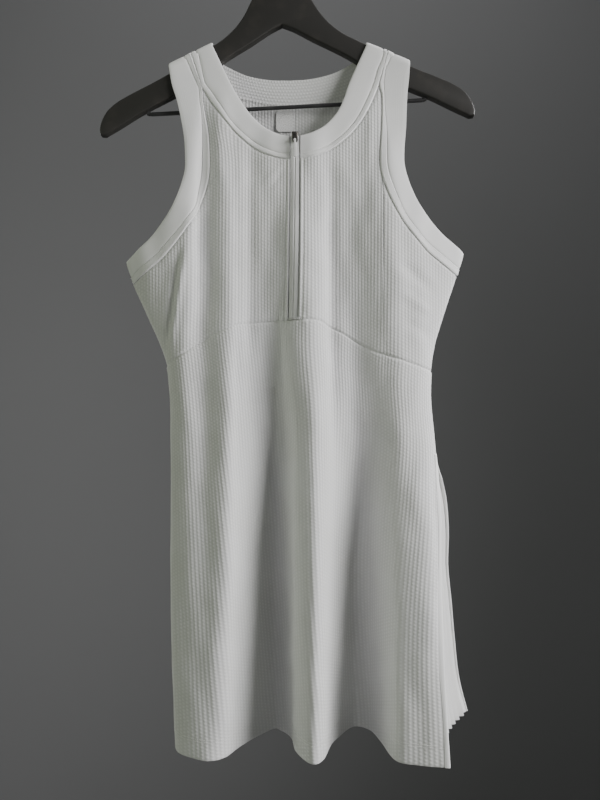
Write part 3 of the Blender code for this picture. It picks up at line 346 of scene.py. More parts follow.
# Lamps: name, place, place lit, size or radius, cone of a spot or 0 for a panel, power, colour
LAMPS = (
    ("front fill", (-0.2, -2.6, 0.3), LIT_PLACE, 2.4, 0.0, 3.2, (0.98, 0.98, 1.0)),
    ("left fill", (-1.95, -0.9, -0.2), LIT_PLACE, 1.2, 0.0, 10.0, (0.90, 1.0, 0.74)),
    ("key", (2.18, -1.0, 0.1), LIT_PLACE, 0.8, 60.0, 385.0, (1.0, 0.99, 1.0)),
    ("back light", (1.7, 1.1, 0.4), LIT_PLACE, 0.5, 54.0, 170.0, (0.96, 0.97, 1.0)),
    ("back fill", (-1.2, 1.5, 0.2), LIT_PLACE, 0.5, 50.0, 38.0, (1.0, 1.0, 1.0)),
    ("backdrop wash", (0.0, 0.4, 1.7), WASHED_PLACE, 1.6, 0.0, 22.0, (1.0, 1.0, 1.0)),
)

# Rounds of the two searches for a place on the cloth
HALVINGS = 22
SEAM_ROUNDS = 5

# Colours of the finishes, linear
KNIT_WHITE = (0.80, 0.80, 0.785)
# Darker knit colour, painted as shade into the hollows between the ribs
KNIT_SHADE = (0.60, 0.60, 0.585)
BAND_WHITE = (0.82, 0.82, 0.80)
THREAD_WHITE = (0.86, 0.86, 0.84)
KNIT_COOL = (0.76, 0.765, 0.77)
BAND_COOL = (0.77, 0.775, 0.775)
THREAD_SHADE = (0.72, 0.72, 0.70)

# Wales and loops of the smooth knit, in metres
WALE_PITCH, LOOP_PITCH = 0.0011, 0.0013


def ease(value):
    """Smooth step from 0 to 1."""
    value = np.clip(value, 0.0, 1.0)
    return value * value * (3.0 - 2.0 * value)


def bumps(distance, rows):
    """Soft rolls and grooves along an edge. Each row gives its place, half width and height."""
    return sum(height * np.exp(-((distance - spot) / width) ** 2) for spot, width, height in rows)


def through(stations, rows, at):
    """Smooth curve through unevenly spaced rows, read at each value of `at`."""
    stations = np.asarray(stations, float)
    rows = np.asarray(rows, float)
    at = np.clip(np.asarray(at, float), stations[0], stations[-1])
    slopes = np.gradient(rows, stations, axis=0)
    index = np.clip(np.searchsorted(stations, at, side="right") - 1, 0, len(stations) - 2)
    step = stations[index + 1] - stations[index]
    part = (at - stations[index]) / step
    spread = (slice(None),) * at.ndim + (None,) * (rows.ndim - 1)
    part, step = part[spread], step[spread]
    start, end = rows[index], rows[index + 1]
    leave, arrive = slopes[index] * step, slopes[index + 1] * step
    return (start * (1 + 2 * part) * (1 - part) ** 2 + leave * part * (1 - part) ** 2
            + end * part ** 2 * (3 - 2 * part) + arrive * part ** 2 * (part - 1))


def read_side(table, drop):
    """Across and depth of a side line at each drop."""
    table = np.asarray(table, float)
    return through(table[:, 0], table[:, 1:], drop)


def read_folds(table, drop):
    """Across and depth of each fold at each drop."""
    columns = np.array([row[1:] for row in table], float)
    by_drop = columns.transpose(1, 0, 2)
    reach = np.clip(drop, FOLD_DROPS[0], FOLD_DROPS[-1])
    folds = through(FOLD_DROPS, by_drop, reach)
    cling = ease((CLING_DROP - drop) / CLING_OVER)[..., None]
    against = STRAP_REACH * np.sign(folds[..., 1])
    folds[..., 1] = folds[..., 1] * (1 - cling) + against * cling
    return folds


def sheet_controls(front, drop):
    """Control points of the front or the back of the dress at each drop, ends included."""
    here = read_folds(FRONT_FOLDS if front else BACK_FOLDS, drop)
    other = read_folds(BACK_FOLDS if front else FRONT_FOLDS, drop)
    left = read_side(LEFT_SIDE, drop)
    right = read_side(RIGHT_SIDE, drop)
    if not front:
        parted = ease((drop - PARTING_DROP) / PARTING_OVER)[..., None]
        right = right * (1 - parted) + read_side(BACK_RIGHT_SIDE, drop) * parted
    apart = SIDE_LIFT * ease((LIFT_FROM - drop) / LIFT_OVER) * (-1 if front else 1)
    left[..., 1] += apart
    right[..., 1] += apart
    opened = ease((drop - SLIT_DROP) / (SLIT_OPEN_DROP - SLIT_DROP))[..., None]
    joined = other[..., -1, :]
    free = 2 * right - here[..., -1, :]
    beyond = joined * (1 - opened) + free * opened
    columns = [other[..., 0, :], left] + [here[..., k, :] for k in range(here.shape[-2])]
    return np.stack(columns + [right, beyond], axis=-2)


def sheet_columns(front):
    """Number of intervals between the side seams."""
    return len(FRONT_FOLDS if front else BACK_FOLDS) + 1


def sheet_plan(front, column, drop):
    """Across and depth on the sheet. Column 0 is the left side seam."""
    column, drop = np.broadcast_arrays(np.asarray(column, float), np.asarray(drop, float))
    points = sheet_controls(front, drop)
    count = sheet_columns(front)
    index = np.clip(np.floor(column).astype(int), 0, count - 1)
    part = (column - index)[..., None]
    near = [np.take_along_axis(points, (index + k)[..., None, None], axis=-2)[..., 0, :]
            for k in range(4)]
    before, start, end, after = near
    return 0.5 * (2 * start + (end - before) * part
                  + (2 * before - 5 * start + 4 * end - after) * part ** 2
                  + (3 * start - before - 3 * end + after) * part ** 3)


def sheet_point(front, column, drop):
    """Point on the sheet: across, depth, height."""
    plan = sheet_plan(front, column, drop)
    height = np.broadcast_to(-np.asarray(drop, float), plan[..., 0].shape)
    return np.stack([plan[..., 0], plan[..., 1], height], axis=-1)


def sheet_normal(front, column, drop):
    """Outward direction of the sheet."""
    small, reach = 0.002, 0.5
    count = sheet_columns(front)
    low = np.clip(column - small, 0, count)
    high = np.clip(column + small, 0, count)
    along = sheet_point(front, high, drop) - sheet_point(front, low, drop)
    down = sheet_point(front, column, drop + reach) - sheet_point(front, column, drop - reach)
    turn = -1.0 if front else 1.0
    normal = turn * np.cross(along, down)
    return normal / np.linalg.norm(normal, axis=-1, keepdims=True)


def column_at(front, across, drop):
    """Column at which the sheet reaches `across`, found by halving."""
    across, drop = np.broadcast_arrays(np.asarray(across, float), np.asarray(drop, float))
    low = np.zeros(across.shape)
    high = np.full(across.shape, float(sheet_columns(front)))
    for _ in range(HALVINGS):
        middle = (low + high) / 2
        left_of = sheet_plan(front, middle, drop)[..., 0] < across
        low = np.where(left_of, middle, low)
        high = np.where(left_of, high, middle)
    return (low + high) / 2


def column_to_seam(front, across, drop):
    """As column_at, with the last columns stretched to reach the side seams.

    The sheet swells a little beyond its side seams, so it meets a seam's across before the seam.
    """
    column = column_at(front, across, drop)
    for end in (0.0, float(sheet_columns(front))):
        met = column_at(front, sheet_plan(front, end, drop)[..., 0], drop)
        near = np.clip(1 - np.abs(column - met) / SEAM_STRETCH, 0, 1)
        column = column + (end - met) * near
    return column


def crease_height(front, across, drop):
    """How far the creases and the cloth's slow unevenness move it out."""
    height = np.zeros(np.shape(across))
    for _, face, start, end, width, rise in CREASES:
        if (face == "front") != front:
            continue
        way = (end[0] - start[0], end[1] - start[1])
        length = way[0] ** 2 + way[1] ** 2
        part = np.clip(((across - start[0]) * way[0] + (drop - start[1]) * way[1]) / length, 0, 1)
        away = (across - start[0] - part * way[0]) ** 2 + (drop - start[1] - part * way[1]) ** 2
        taper = ease(part * 3) * ease((1 - part) * 3)
        height = height + rise * taper * np.exp(-away / width ** 2)
    loose = ease((drop - LOOSE_FROM) / LOOSE_OVER)
    for k, (wide, tall, rise) in enumerate(DRIFTS):
        phase = 1.7 * k + (0.0 if front else 2.1)
        height = height + loose * rise * np.sin(across / wide * 2 * math.pi + phase
                                                + np.sin(drop / tall * 2 * math.pi + phase))
    return height


def cloth(front, column, drop):
    """Point and outward direction of the hanging cloth, creases included."""
    point = sheet_point(front, column, drop)
    normal = sheet_normal(front, column, drop)
    rise = crease_height(front, point[..., 0], -point[..., 2])
    ends = np.minimum(column, sheet_columns(front) - column)
    rise = rise * ease(ends / EDGE_COLUMNS)
    return point + normal * rise[..., None], normal


def hang(side, across, drop):
    """How a row of the pattern hangs: the shoulders lean and the right arm is higher."""
    across = side * np.asarray(across, float)
    drop = np.asarray(drop, float)
    lean = SHOULDER_LEAN * (1 - ease((drop - LEAN_FROM) / LEAN_OVER))
    tilt = ARM_TILT * across * (1 - ease((drop - TILT_FROM) / TILT_OVER))
    return across + lean, drop - tilt


def smooth_outline(rows, steps):
    """Points of an outline, smooth through its rows."""
    rows = np.asarray(rows, float)
    at = np.linspace(0, len(rows) - 1, (len(rows) - 1) * steps + 1)
    return through(np.arange(len(rows)), rows, at)


def board_top_drop(across):
    """Drop of the tilted board's upper edge, at a distance from the dress's centre."""
    half = np.asarray(BOARD_TOP[:-2], float)
    whole = np.concatenate([half[::-1] * (-1, 1), half[1:]])
    turned_across = whole[:, 0] * math.cos(HANGER_TILT) + whole[:, 1] * math.sin(HANGER_TILT)
    turned_drop = whole[:, 1] * math.cos(HANGER_TILT) - whole[:, 0] * math.sin(HANGER_TILT)
    return np.interp(np.asarray(across, float) + DRESS_CENTRE, turned_across, turned_drop)


def strap_drop(across):
    """Drop of the centre that the straps turn round, above the board's edge."""
    places, heights = np.array(STRAP_LIFT).T
    return board_top_drop(across) + OVER_CENTRE - np.interp(across, places, heights)


def over_board(across, turn):
    """Points of a strap over the board. `turn` runs from 0 in front to 1 behind."""
    angle = math.pi * turn
    flat = BOARD_THICKNESS / 2 - BOARD_ROUNDING
    lean = 0.0 if abs(turn - 0.5) < 1e-6 else math.copysign(flat, math.cos(angle))
    depth = -math.cos(angle) * OVER_RADIUS - lean
    rise = math.sin(angle) * OVER_RADIUS / math.cos(SHOULDER_SLOPE)
    drop = strap_drop(across) - rise
    return np.stack([across, np.full(len(across), depth), -drop], axis=-1)


def between(start, end, count):
    """Evenly spaced points between two points."""
    part = np.linspace(0, 1, count)[:, None]
    return np.asarray(start)[None] * (1 - part) + np.asarray(end)[None] * part


def pattern_curve(rows, which, steps, side):
    """Across and drop along an edge or a seam. A shoulder row ends where the strap turns over."""
    names = [row[0] for row in rows]
    flat = np.array([row[which] for row in rows], float)
    shoulder = names.index("shoulder")
    across, drop = hang(side, flat[:, 0], flat[:, 1])
    across[shoulder] = side * flat[shoulder, 0] + SHOULDER_LEAN
    drop[shoulder] = strap_drop(across[shoulder])
    at = np.linspace(0, len(rows) - 1, (len(rows) - 1) * steps + 1)
    marks = np.stack([across, drop], axis=-1)
    curve = through(np.arange(len(rows)), marks, at)
    if which == 2:
        tip = names.index("wedge tip")
        first, last = sorted((tip, shoulder))
        curve[first * steps:last * steps + 1] = between(marks[first], marks[last], steps + 1)
    return curve


def arm_rows(front):
    """Rows of the armhole band on the front or on the back."""
    if front:
        return ARM_ROWS
    return ARM_ROWS[:1] + (ARM_BACK_TIP,) + ARM_ROWS[2:]


def seam_drop(front, column):
    """Drop of the seam between bodice and skirt, at a column of the sheet."""
    table = np.asarray(FRONT_SEAM if front else BACK_SEAM, float)
    drop = np.full(np.shape(column), float(table[len(table) // 2, 1]))
    for _ in range(SEAM_ROUNDS):
        across = sheet_plan(front, column, drop)[..., 0]
        drop = through(table[:, 0], table[:, 1], across)
    return drop


def grid_normals(points, closed):
    """Directions across a grid of points, from its neighbours."""
    if closed:
        along = np.roll(points, -1, axis=0) - np.roll(points, 1, axis=0)
    else:
        along = np.gradient(points, axis=0)
    across = np.gradient(points, axis=1)
    normal = np.cross(along, across)
    return normal / np.linalg.norm(normal, axis=-1, keepdims=True)


def crowded_rows(length, count, at_start, at_end):
    """Row distances along each of many lines, crowded together where a line meets a seam."""
    length = np.asarray(length, float)
    crowd = np.asarray(SEAM_ROWS)
    shrink = np.minimum(1.0, length / (4 * crowd[-1]))[None]
    first = np.where(np.asarray(at_start)[None], crowd[:, None], 0) * shrink
    last = np.where(np.asarray(at_end)[None], crowd[:, None], 0) * shrink
    even = np.linspace(0, 1, count + 1)[:, None] * length[None]
    rows = even.copy()
    n = len(crowd) - 1
    inner = np.linspace(0, 1, count + 1 - 2 * n)[:, None]
    low = np.where(at_start, first[n], even[n])
    high = length - np.where(at_end, last[n], length - even[count - n])
    rows[n:count - n + 1] = low * (1 - inner) + high * inner
    rows[:n] = np.where(at_start, first[:n], even[:n] * (low / np.maximum(even[n], 1e-9)))
    tail = length - last[:n][::-1]
    spare = high + (length - high) * np.linspace(0, 1, n + 1)[1:, None]
    rows[count - n + 1:] = np.where(at_end, tail, spare)
    return rows


def distance_to(curve, across, drop):
    """Distance of each point to a curve of closely spaced points."""
    best = np.full(np.shape(across), 1e9)
    for x, d in curve:
        best = np.minimum(best, (across - x) ** 2 + (drop - d) ** 2)
    return np.sqrt(best)


def resample(points, pitch):
    """Points along a line at an even distance."""
    step = np.linalg.norm(np.diff(points, axis=0), axis=1)
    along = np.concatenate([[0], np.cumsum(step)])
    count = max(2, int(along[-1] / pitch))
    at = np.linspace(0, along[-1], count + 1)
    return np.stack([np.interp(at, along, points[:, k]) for k in range(points.shape[1])], axis=-1)


def finish_mesh(name, bm, angle=50.0):
    """Mesh from a bmesh, with its faces pointing out."""
    bmesh.ops.recalc_face_normals(bm, faces=bm.faces)
    mesh = bpy.data.meshes.new(name)
    bm.to_mesh(mesh)
    bm.free()
    mesh.shade_smooth()
    mesh.set_sharp_from_angle(angle=math.radians(angle))
    return mesh


def place(name, mesh, materials, replaces=(), body="dress"):
    """Puts a finished piece into the scene, on its body."""
    piece = bpy.data.objects.new(name, mesh)
    bpy.context.scene.collection.objects.link(piece)
    for material in materials:
        mesh.materials.append(material)
    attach(piece, body)
    if replaces:
        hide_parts(*replaces)
    return piece


def cloth_shell(name, points, normals, wall, height, uv, closed, cuts, lined_rows):
    """Wall of cloth over a grid of middle points.

    `height` raises the outer face only. The inner face has the second material on lined rows.
    """
    rows, columns = points.shape[:2]
    shift = np.array([DRESS_CENTRE, 0.0, 0.0])
    middle = (points + shift) * MM
    inner = (middle - normals * wall / 2 * MM).tolist()
    outer = (middle + normals * (wall / 2 + height[..., None]) * MM).tolist()
    bm = bmesh.new()
    row_of = bm.verts.layers.int.new("row")
    column_of = bm.verts.layers.int.new("column")
    last = rows if closed else rows - 1
    bmesh.ops.create_grid(bm, x_segments=columns - 1, y_segments=last, size=1.0)
    for vert in bm.verts:
        row = round((vert.co.y + 1) / 2 * last) % (rows if closed else rows + 1)
        column = round((vert.co.x + 1) / 2 * (columns - 1))
        vert[row_of], vert[column_of] = row, column
        vert.co = inner[row][column]
    for below_row, from_column, to_column in cuts:
        spare = [face for face in bm.faces
                 if all(v[row_of] <= below_row and from_column <= v[column_of] <= to_column
                        for v in face.verts)]
        bmesh.ops.delete(bm, geom=spare, context="FACES")
    if closed:
        bmesh.ops.remove_doubles(bm, verts=bm.verts, dist=1e-7)
    raised = bmesh.ops.extrude_face_region(bm, geom=bm.faces[:])["geom"]
    for item in raised:
        if isinstance(item, bmesh.types.BMVert):
            item.co = outer[item[row_of]][item[column_of]]
    if lined_rows:
        outside = {item for item in raised if isinstance(item, bmesh.types.BMFace)}
        for face in bm.faces:
            if face not in outside and face.verts[0][row_of] in lined_rows:
                face.material_index = 1
    mesh = finish_mesh(name, bm)
    index = np.empty(len(mesh.loops), int)
    mesh.loops.foreach_get("vertex_index", index)
    place_in_grid = []
    for label in ("row", "column"):
        values = np.empty(len(mesh.vertices), int)
        mesh.attributes[label].data.foreach_get("value", values)
        place_in_grid.append(values[index])
    layer = mesh.uv_layers.new(name="cloth")
    layer.data.foreach_set("uv", uv[place_in_grid[0], place_in_grid[1]].ravel())
    for label in ("row", "column"):
        mesh.attributes.remove(mesh.attributes[label])
    return mesh


def declare_sheet(points, closed, cuts):
    """Works out a panel's flat cut, measured along its middle: the widths, lengths and areas of its
    cells, which are neither returned nor declared.

    Rows of a panel with cuts follow its curved edges, so its width is measured level.
    """
    loop = np.concatenate([points, points[:1]]) if closed else points
    level = loop[..., :2] if cuts else loop
    wide = np.linalg.norm(np.diff(level, axis=1), axis=-1)
    tall = np.linalg.norm(np.diff(loop, axis=0), axis=-1)
    first = loop[1:, 1:] - loop[:-1, :-1]
    second = loop[1:, :-1] - loop[:-1, 1:]
    cells = np.linalg.norm(np.cross(first, second), axis=-1) / 2
    for below_row, from_column, to_column in cuts:
        cells[:below_row, from_column:to_column] = 0
        wide[:below_row, from_column:to_column] = 0
        tall[:below_row, from_column:to_column + 1] = 0


def cloth_piece(name, points, normals, wall, height, uv, materials, replaces=(),
                closed=False, cuts=(), lined_rows=()):
    """A shell of cloth as a finished piece, placed in the scene; its flat cut is measured but not
    declared.
    """
    mesh = cloth_shell(name, points, normals, wall, height, uv, closed, cuts, lined_rows)
    piece = place(name, mesh, materials, replaces)
    declare_sheet(points, closed, cuts)


def side_column(front, side):
    """Column of the left (-1) or right (1) side seam."""
    return 0.0 if side < 0 else float(sheet_columns(front))


def side_word(side):
    """Name of a side."""
    return "left" if side < 0 else "right"


def in_metres(point):
    """Place in the scene of a point given from the dress's centre line."""
    return (Vector(point) + Vector((DRESS_CENTRE, 0, 0))) * MM


def rod(bm, turn, radius, length, segments=6):
    """Straight round rod, as of a stitch or a pin."""
    bmesh.ops.create_cone(bm, cap_ends=True, segments=segments, radius1=radius * MM,
                          radius2=radius * MM, depth=length * MM, matrix=turn)


# Materials


def new_group(name, inputs, outputs):
    """Empty shader node group with named sockets, and its two ends."""
    group = bpy.data.node_groups.new(name, "ShaderNodeTree")
    for label, kind, value in inputs:
        socket = group.interface.new_socket(label, in_out="INPUT", socket_type=kind)
        if value is not None:
            socket.default_value = value
    for label, kind in outputs:
        group.interface.new_socket(label, in_out="OUTPUT", socket_type=kind)
    return group, group.nodes.new("NodeGroupInput"), group.nodes.new("NodeGroupOutput")


class Wiring:
    """Short ways to add nodes to one node tree."""

    def __init__(self, tree):
        self.tree = tree

    def feed(self, socket, value):
        if isinstance(value, bpy.types.NodeSocket):
            self.tree.links.new(value, socket)
        elif value is not None:
            socket.default_value = value

    def math(self, operation, *values, clamp=False):
        node = self.tree.nodes.new("ShaderNodeMath")
        node.operation = operation
        node.use_clamp = clamp
        for socket, value in zip(node.inputs, values):
            self.feed(socket, value)
        return node.outputs[0]

    def noise(self, vector, scale, detail=3.0, roughness=0.5):
        node = self.tree.nodes.new("ShaderNodeTexNoise")
        self.feed(node.inputs["Vector"], vector)
        node.inputs["Scale"].default_value = scale
        node.inputs["Detail"].default_value = detail
        node.inputs["Roughness"].default_value = roughness
        return node.outputs["Fac"]

    def scaled(self, vector, factors):
        node = self.tree.nodes.new("ShaderNodeVectorMath")
        node.operation = "MULTIPLY"
        self.feed(node.inputs[0], vector)
        node.inputs[1].default_value = factors
        return node.outputs["Vector"]

    def split(self, vector):
        node = self.tree.nodes.new("ShaderNodeSeparateXYZ")
        self.feed(node.inputs[0], vector)
        return node.outputs

    def mix(self, factor, first, second):
        node = self.tree.nodes.new("ShaderNodeMix")
        node.data_type = "RGBA"
        self.feed(node.inputs["Factor"], factor)
        for socket, value in ((node.inputs["A"], first), (node.inputs["B"], second)):
            self.feed(socket, (*value, 1.0) if isinstance(value, tuple) else value)
        return node.outputs["Result"]

    def span(self, value, low, high, to_low, to_high):
        node = self.tree.nodes.new("ShaderNodeMapRange")
        for socket, item in zip(node.inputs, (value, low, high, to_low, to_high)):
            self.feed(socket, item)
        return node.outputs[0]

    def group(self, group, **values):
        node = self.tree.nodes.new("ShaderNodeGroup")
        node.node_tree = group
        for label, value in values.items():
            self.feed(node.inputs[label.replace("_", " ")], value)
        return node.outputs


def waffle_group():
    """Beaded ribs of the waffle knit: the height in metres, and a mask of the hollows between, for
    painted shade.
    """
    group, inlet, outlet = new_group(
        "waffle cells",
        (("Cells", "NodeSocketVector", None), ("Relief", "NodeSocketFloat", 0.0003),
         ("Beading", "NodeSocketFloat", 0.5)),
        (("Height", "NodeSocketFloat"), ("Painted hollow shade", "NodeSocketFloat")))
    w = Wiring(group)
    place_x, place_y, _ = w.split(inlet.outputs["Cells"])
    turns = w.math("MULTIPLY", place_x, 2 * math.pi)
    rib = w.math("MULTIPLY_ADD", w.math("COSINE", turns), -0.5, 0.5)
    odd = w.math("MODULO", w.math("FLOOR", place_x), 2.0)
    shifted = w.math("MULTIPLY_ADD", odd, 0.5, place_y)
    wave = w.math("COSINE", w.math("MULTIPLY", shifted, 2 * math.pi))
    bead = w.math("MULTIPLY_ADD", wave, 0.5, 0.5)
    beading = inlet.outputs["Beading"]
    solid = w.math("SUBTRACT", 1.0, beading)
    beaded = w.math("MULTIPLY", rib, w.math("MULTIPLY_ADD", bead, beading, solid))
    yarn = w.noise(inlet.outputs["Cells"], 9.0, 2.0)
    level = w.math("MULTIPLY_ADD", w.math("SUBTRACT", yarn, 0.5), 0.25, beaded)
    w.feed(outlet.inputs["Height"], w.math("MULTIPLY", level, inlet.outputs["Relief"]))
    # Mask for painted shade: high in the hollows between the ribs
    w.feed(outlet.inputs["Painted hollow shade"], w.math("SUBTRACT", 1.0, beaded, clamp=True))
    return group


def unevenness_group():
    """Slow patches and fine grains over a surface: a mask for colour and one for roughness."""
    group, inlet, outlet = new_group(
        "unevenness",
        (("Place", "NodeSocketVector", None), ("Patch size", "NodeSocketFloat", 0.05),
         ("Grain size", "NodeSocketFloat", 0.0008)),
        (("Patches", "NodeSocketFloat"), ("Grain", "NodeSocketFloat")))
    w = Wiring(group)
    for label, size, detail in (("Patches", "Patch size", 3.0), ("Grain", "Grain size", 2.0)):
        node = group.nodes.new("ShaderNodeTexNoise")
        w.feed(node.inputs["Vector"], inlet.outputs["Place"])
        w.feed(node.inputs["Scale"], w.math("DIVIDE", 1.0, inlet.outputs[size]))
        node.inputs["Detail"].default_value = detail
        w.feed(outlet.inputs[label], node.outputs["Fac"])
    return group


def weave_group():
    """Crossed threads of a woven tape: height in metres, and a mask of the gaps between threads, for
    painted shade.
    """
    group, inlet, outlet = new_group(
        "tape weave",
        (("Place", "NodeSocketVector", None), ("Thread", "NodeSocketFloat", 0.0006),
         ("Relief", "NodeSocketFloat", 0.0001)),
        (("Height", "NodeSocketFloat"), ("Painted gap shade", "NodeSocketFloat")))
    w = Wiring(group)
    x, _, z = w.split(inlet.outputs["Place"])
    waves = []
    for value, other in ((x, z), (z, x)):
        slant = w.math("ADD", value, w.math("MULTIPLY", other, 0.5))
        turns = w.math("MULTIPLY", w.math("DIVIDE", slant, inlet.outputs["Thread"]), 2 * math.pi)
        waves.append(w.math("SINE", turns))
    level = w.math("MULTIPLY_ADD", w.math("MULTIPLY", waves[0], waves[1]), 0.5, 0.5)
    w.feed(outlet.inputs["Height"], w.math("MULTIPLY", level, inlet.outputs["Relief"]))
    # Mask for painted shade: high in the gaps between the threads
    w.feed(outlet.inputs["Painted gap shade"], w.math("SUBTRACT", 1.0, level))
    return group


WAFFLE = waffle_group()
UNEVEN = unevenness_group()
WEAVE = weave_group()


def new_material(name, roughness, metallic=0.0, sheen=0.0, specular=0.5):
    """Material with its shader, its wiring and its coordinates."""
    material = bpy.data.materials.new(name)
    material.use_nodes = True
    tree = material.node_tree
    shader = tree.nodes["Principled BSDF"]
    shader.inputs["Roughness"].default_value = roughness
    shader.inputs["Metallic"].default_value = metallic
    shader.inputs["Specular IOR Level"].default_value = specular
    if sheen:
        shader.inputs["Sheen Weight"].default_value = sheen
        shader.inputs["Sheen Roughness"].default_value = 0.4
    coordinates = tree.nodes.new("ShaderNodeTexCoord")
    return material, shader, Wiring(tree), coordinates.outputs


def add_bump(w, shader, height):
    """Bump from a height in metres."""
    bump = w.tree.nodes.new("ShaderNodeBump")
    bump.inputs["Strength"].default_value = 1.0
    bump.inputs["Distance"].default_value = 1.0
    w.feed(bump.inputs["Height"], height)
    w.feed(shader.inputs["Normal"], bump.outputs["Normal"])


def waffle_knit(name, relief, beading, in_metres_uv=False):
    """White waffle knit: beaded ribs with shade painted into the colour between them, and a dry sheen.
    """
    material, shader, w, at = new_material(name, 0.85, sheen=0.25, specular=0.3)
    place_in_knit = at["UV"]
    if in_metres_uv:
        place_in_knit = w.scaled(at["UV"], (1000 / RIB_PITCH, 1000 / CELL_HEIGHT, 1.0))
    cells = w.group(WAFFLE, Cells=place_in_knit, Relief=relief, Beading=beading)
    patches = w.group(UNEVEN, Place=at["Object"], Patch_size=0.06, Grain_size=0.0009)
    # Painted shade: the base colour darkens towards KNIT_SHADE in the hollows between the ribs
    shade = w.math("MULTIPLY", cells["Painted hollow shade"], 0.6)
    colour = w.mix(shade, KNIT_WHITE, KNIT_SHADE)
    toned = w.mix(w.span(patches["Patches"], 0.35, 0.65, 0.0, 0.35), colour, KNIT_COOL)
    w.feed(shader.inputs["Base Color"], toned)
    w.feed(shader.inputs["Roughness"], w.span(patches["Grain"], 0.3, 0.7, 0.78, 0.92))
    fuzz = w.math("MULTIPLY", patches["Grain"], 0.00006)
    add_bump(w, shader, w.math("ADD", cells["Height"], fuzz))
    return material


def smooth_knit(name, roughness):
    """White smooth knit: fine wales, a slight sheen and small unevenness."""
    material, shader, w, at = new_material(name, roughness, sheen=0.2, specular=0.4)
    patches = w.group(UNEVEN, Place=at["Object"], Patch_size=0.03, Grain_size=0.0007)
    u, v, _ = w.split(at["UV"])
    wales = w.math("SINE", w.math("MULTIPLY", u, 2 * math.pi / WALE_PITCH))
    loops = w.math("SINE", w.math("MULTIPLY", v, 2 * math.pi / LOOP_PITCH))
    tone = w.span(patches["Patches"], 0.35, 0.65, 0.0, 0.4)
    w.feed(shader.inputs["Base Color"], w.mix(tone, BAND_WHITE, BAND_COOL))
    w.feed(shader.inputs["Roughness"],
           w.span(patches["Grain"], 0.3, 0.7, roughness - 0.07, roughness + 0.08))
    stitches = w.math("MULTIPLY", w.math("ADD", wales, w.math("MULTIPLY", loops, 0.6)), 0.000018)
    add_bump(w, shader, w.math("MULTIPLY_ADD", patches["Grain"], 0.00005, stitches))
    return material


def woven_tape(name, colour, thread, roughness):
    """Woven tape of the zip or the label, with shade painted into the colour in the gaps between its
    threads.
    """
    material, shader, w, at = new_material(name, roughness, specular=0.45)
    weave = w.group(WEAVE, Place=at["Object"], Thread=thread, Relief=0.00008)
    # Painted shade: the colour darkens to 0.8 of itself in the gaps between the threads
    shaded = tuple(0.8 * value for value in colour)
    gaps = w.math("MULTIPLY", weave["Painted gap shade"], 0.5)
    w.feed(shader.inputs["Base Color"], w.mix(gaps, colour, shaded))
    add_bump(w, shader, weave["Height"])
    return material


def sewing_thread():
    """Twisted white thread."""
    material, shader, w, at = new_material("sewing thread", 0.5, specular=0.5)
    patches = w.group(UNEVEN, Place=at["Object"], Patch_size=0.004, Grain_size=0.0003)
    w.feed(shader.inputs["Base Color"], w.mix(patches["Patches"], THREAD_WHITE, THREAD_SHADE))
    add_bump(w, shader, w.math("MULTIPLY", patches["Grain"], 0.00006))
    return material


def hard_finish(name, colour, worn, roughness, metallic, grain, relief):
    """Painted, plated or moulded surface with slow wear and fine grain."""
    material, shader, w, at = new_material(name, roughness, metallic)
    patches = w.group(UNEVEN, Place=at["Object"], Patch_size=0.02, Grain_size=grain)
    wear = w.span(patches["Patches"], 0.5, 0.75, 0.0, 0.6)
    w.feed(shader.inputs["Base Color"], w.mix(wear, colour, worn))
    w.feed(shader.inputs["Roughness"],
           w.span(patches["Grain"], 0.3, 0.7, roughness - 0.08, roughness + 0.1))
    add_bump(w, shader, w.math("MULTIPLY", patches["Grain"], relief))
    return material


BODY_KNIT = waffle_knit("waffle knit", 0.0003, 0.8)
INSIDE_KNIT = waffle_knit("waffle knit inside", 0.0004, 0.7)
BAND_LINING = waffle_knit("waffle knit band lining", 0.0004, 0.7, in_metres_uv=True)
BAND_KNIT = smooth_knit("band knit", 0.62)
PLEAT_KNIT = smooth_knit("pleated knit", 0.55)
TAPE = woven_tape("zip tape", (0.78, 0.78, 0.77), 0.0009, 0.6)
LABEL = woven_tape("label tape", (0.86, 0.86, 0.84), 0.0005, 0.4)
THREAD = sewing_thread()
GUNMETAL = hard_finish(
    "dark gunmetal", (0.10, 0.095, 0.085), (0.32, 0.30, 0.27), 0.3, 0.95, 0.0006, 0.00002)
TAB_WHITE = hard_finish(
    "moulded tab", (0.74, 0.74, 0.72), (0.68, 0.68, 0.65), 0.45, 0.0, 0.0005, 0.00002)
BOARD_BLACK = hard_finish(
    "black board", (0.024, 0.023, 0.020), (0.045, 0.040, 0.034), 0.5, 0.0, 0.0012, 0.00005)
HOOK_STEEL = hard_finish(
    "hook steel", (0.48, 0.48, 0.48), (0.38, 0.37, 0.36), 0.36, 1.0, 0.0007, 0.00001)
BAR_BLACK = hard_finish(
    "bar enamel", (0.045, 0.045, 0.045), (0.10, 0.10, 0.10), 0.35, 0.3, 0.0008, 0.00001)


# Knitted panels


def knit_panel(name, front, column, drop, dip, fade, replaces, start=0, cuts=(), lined=False):
    """A panel of waffle knit, ribbed along its columns and dipped at its seams."""
    middle, normals = cloth(front, column, drop)
    cells = (np.arange(drop.shape[1]) + start) / RIB_COLUMNS
    height = RIB_HEIGHT * (0.5 - 0.5 * np.cos(2 * math.pi * cells)) * fade
    uv = np.stack([np.broadcast_to(cells, drop.shape), drop / CELL_HEIGHT], axis=-1)
    cloth_piece(name, middle + normals * dip[..., None], normals, KNIT_WALL, height, uv,
                [BODY_KNIT, INSIDE_KNIT] if lined else [BODY_KNIT],
                [replaces], cuts=cuts, lined_rows=range(len(drop)) if lined else ())


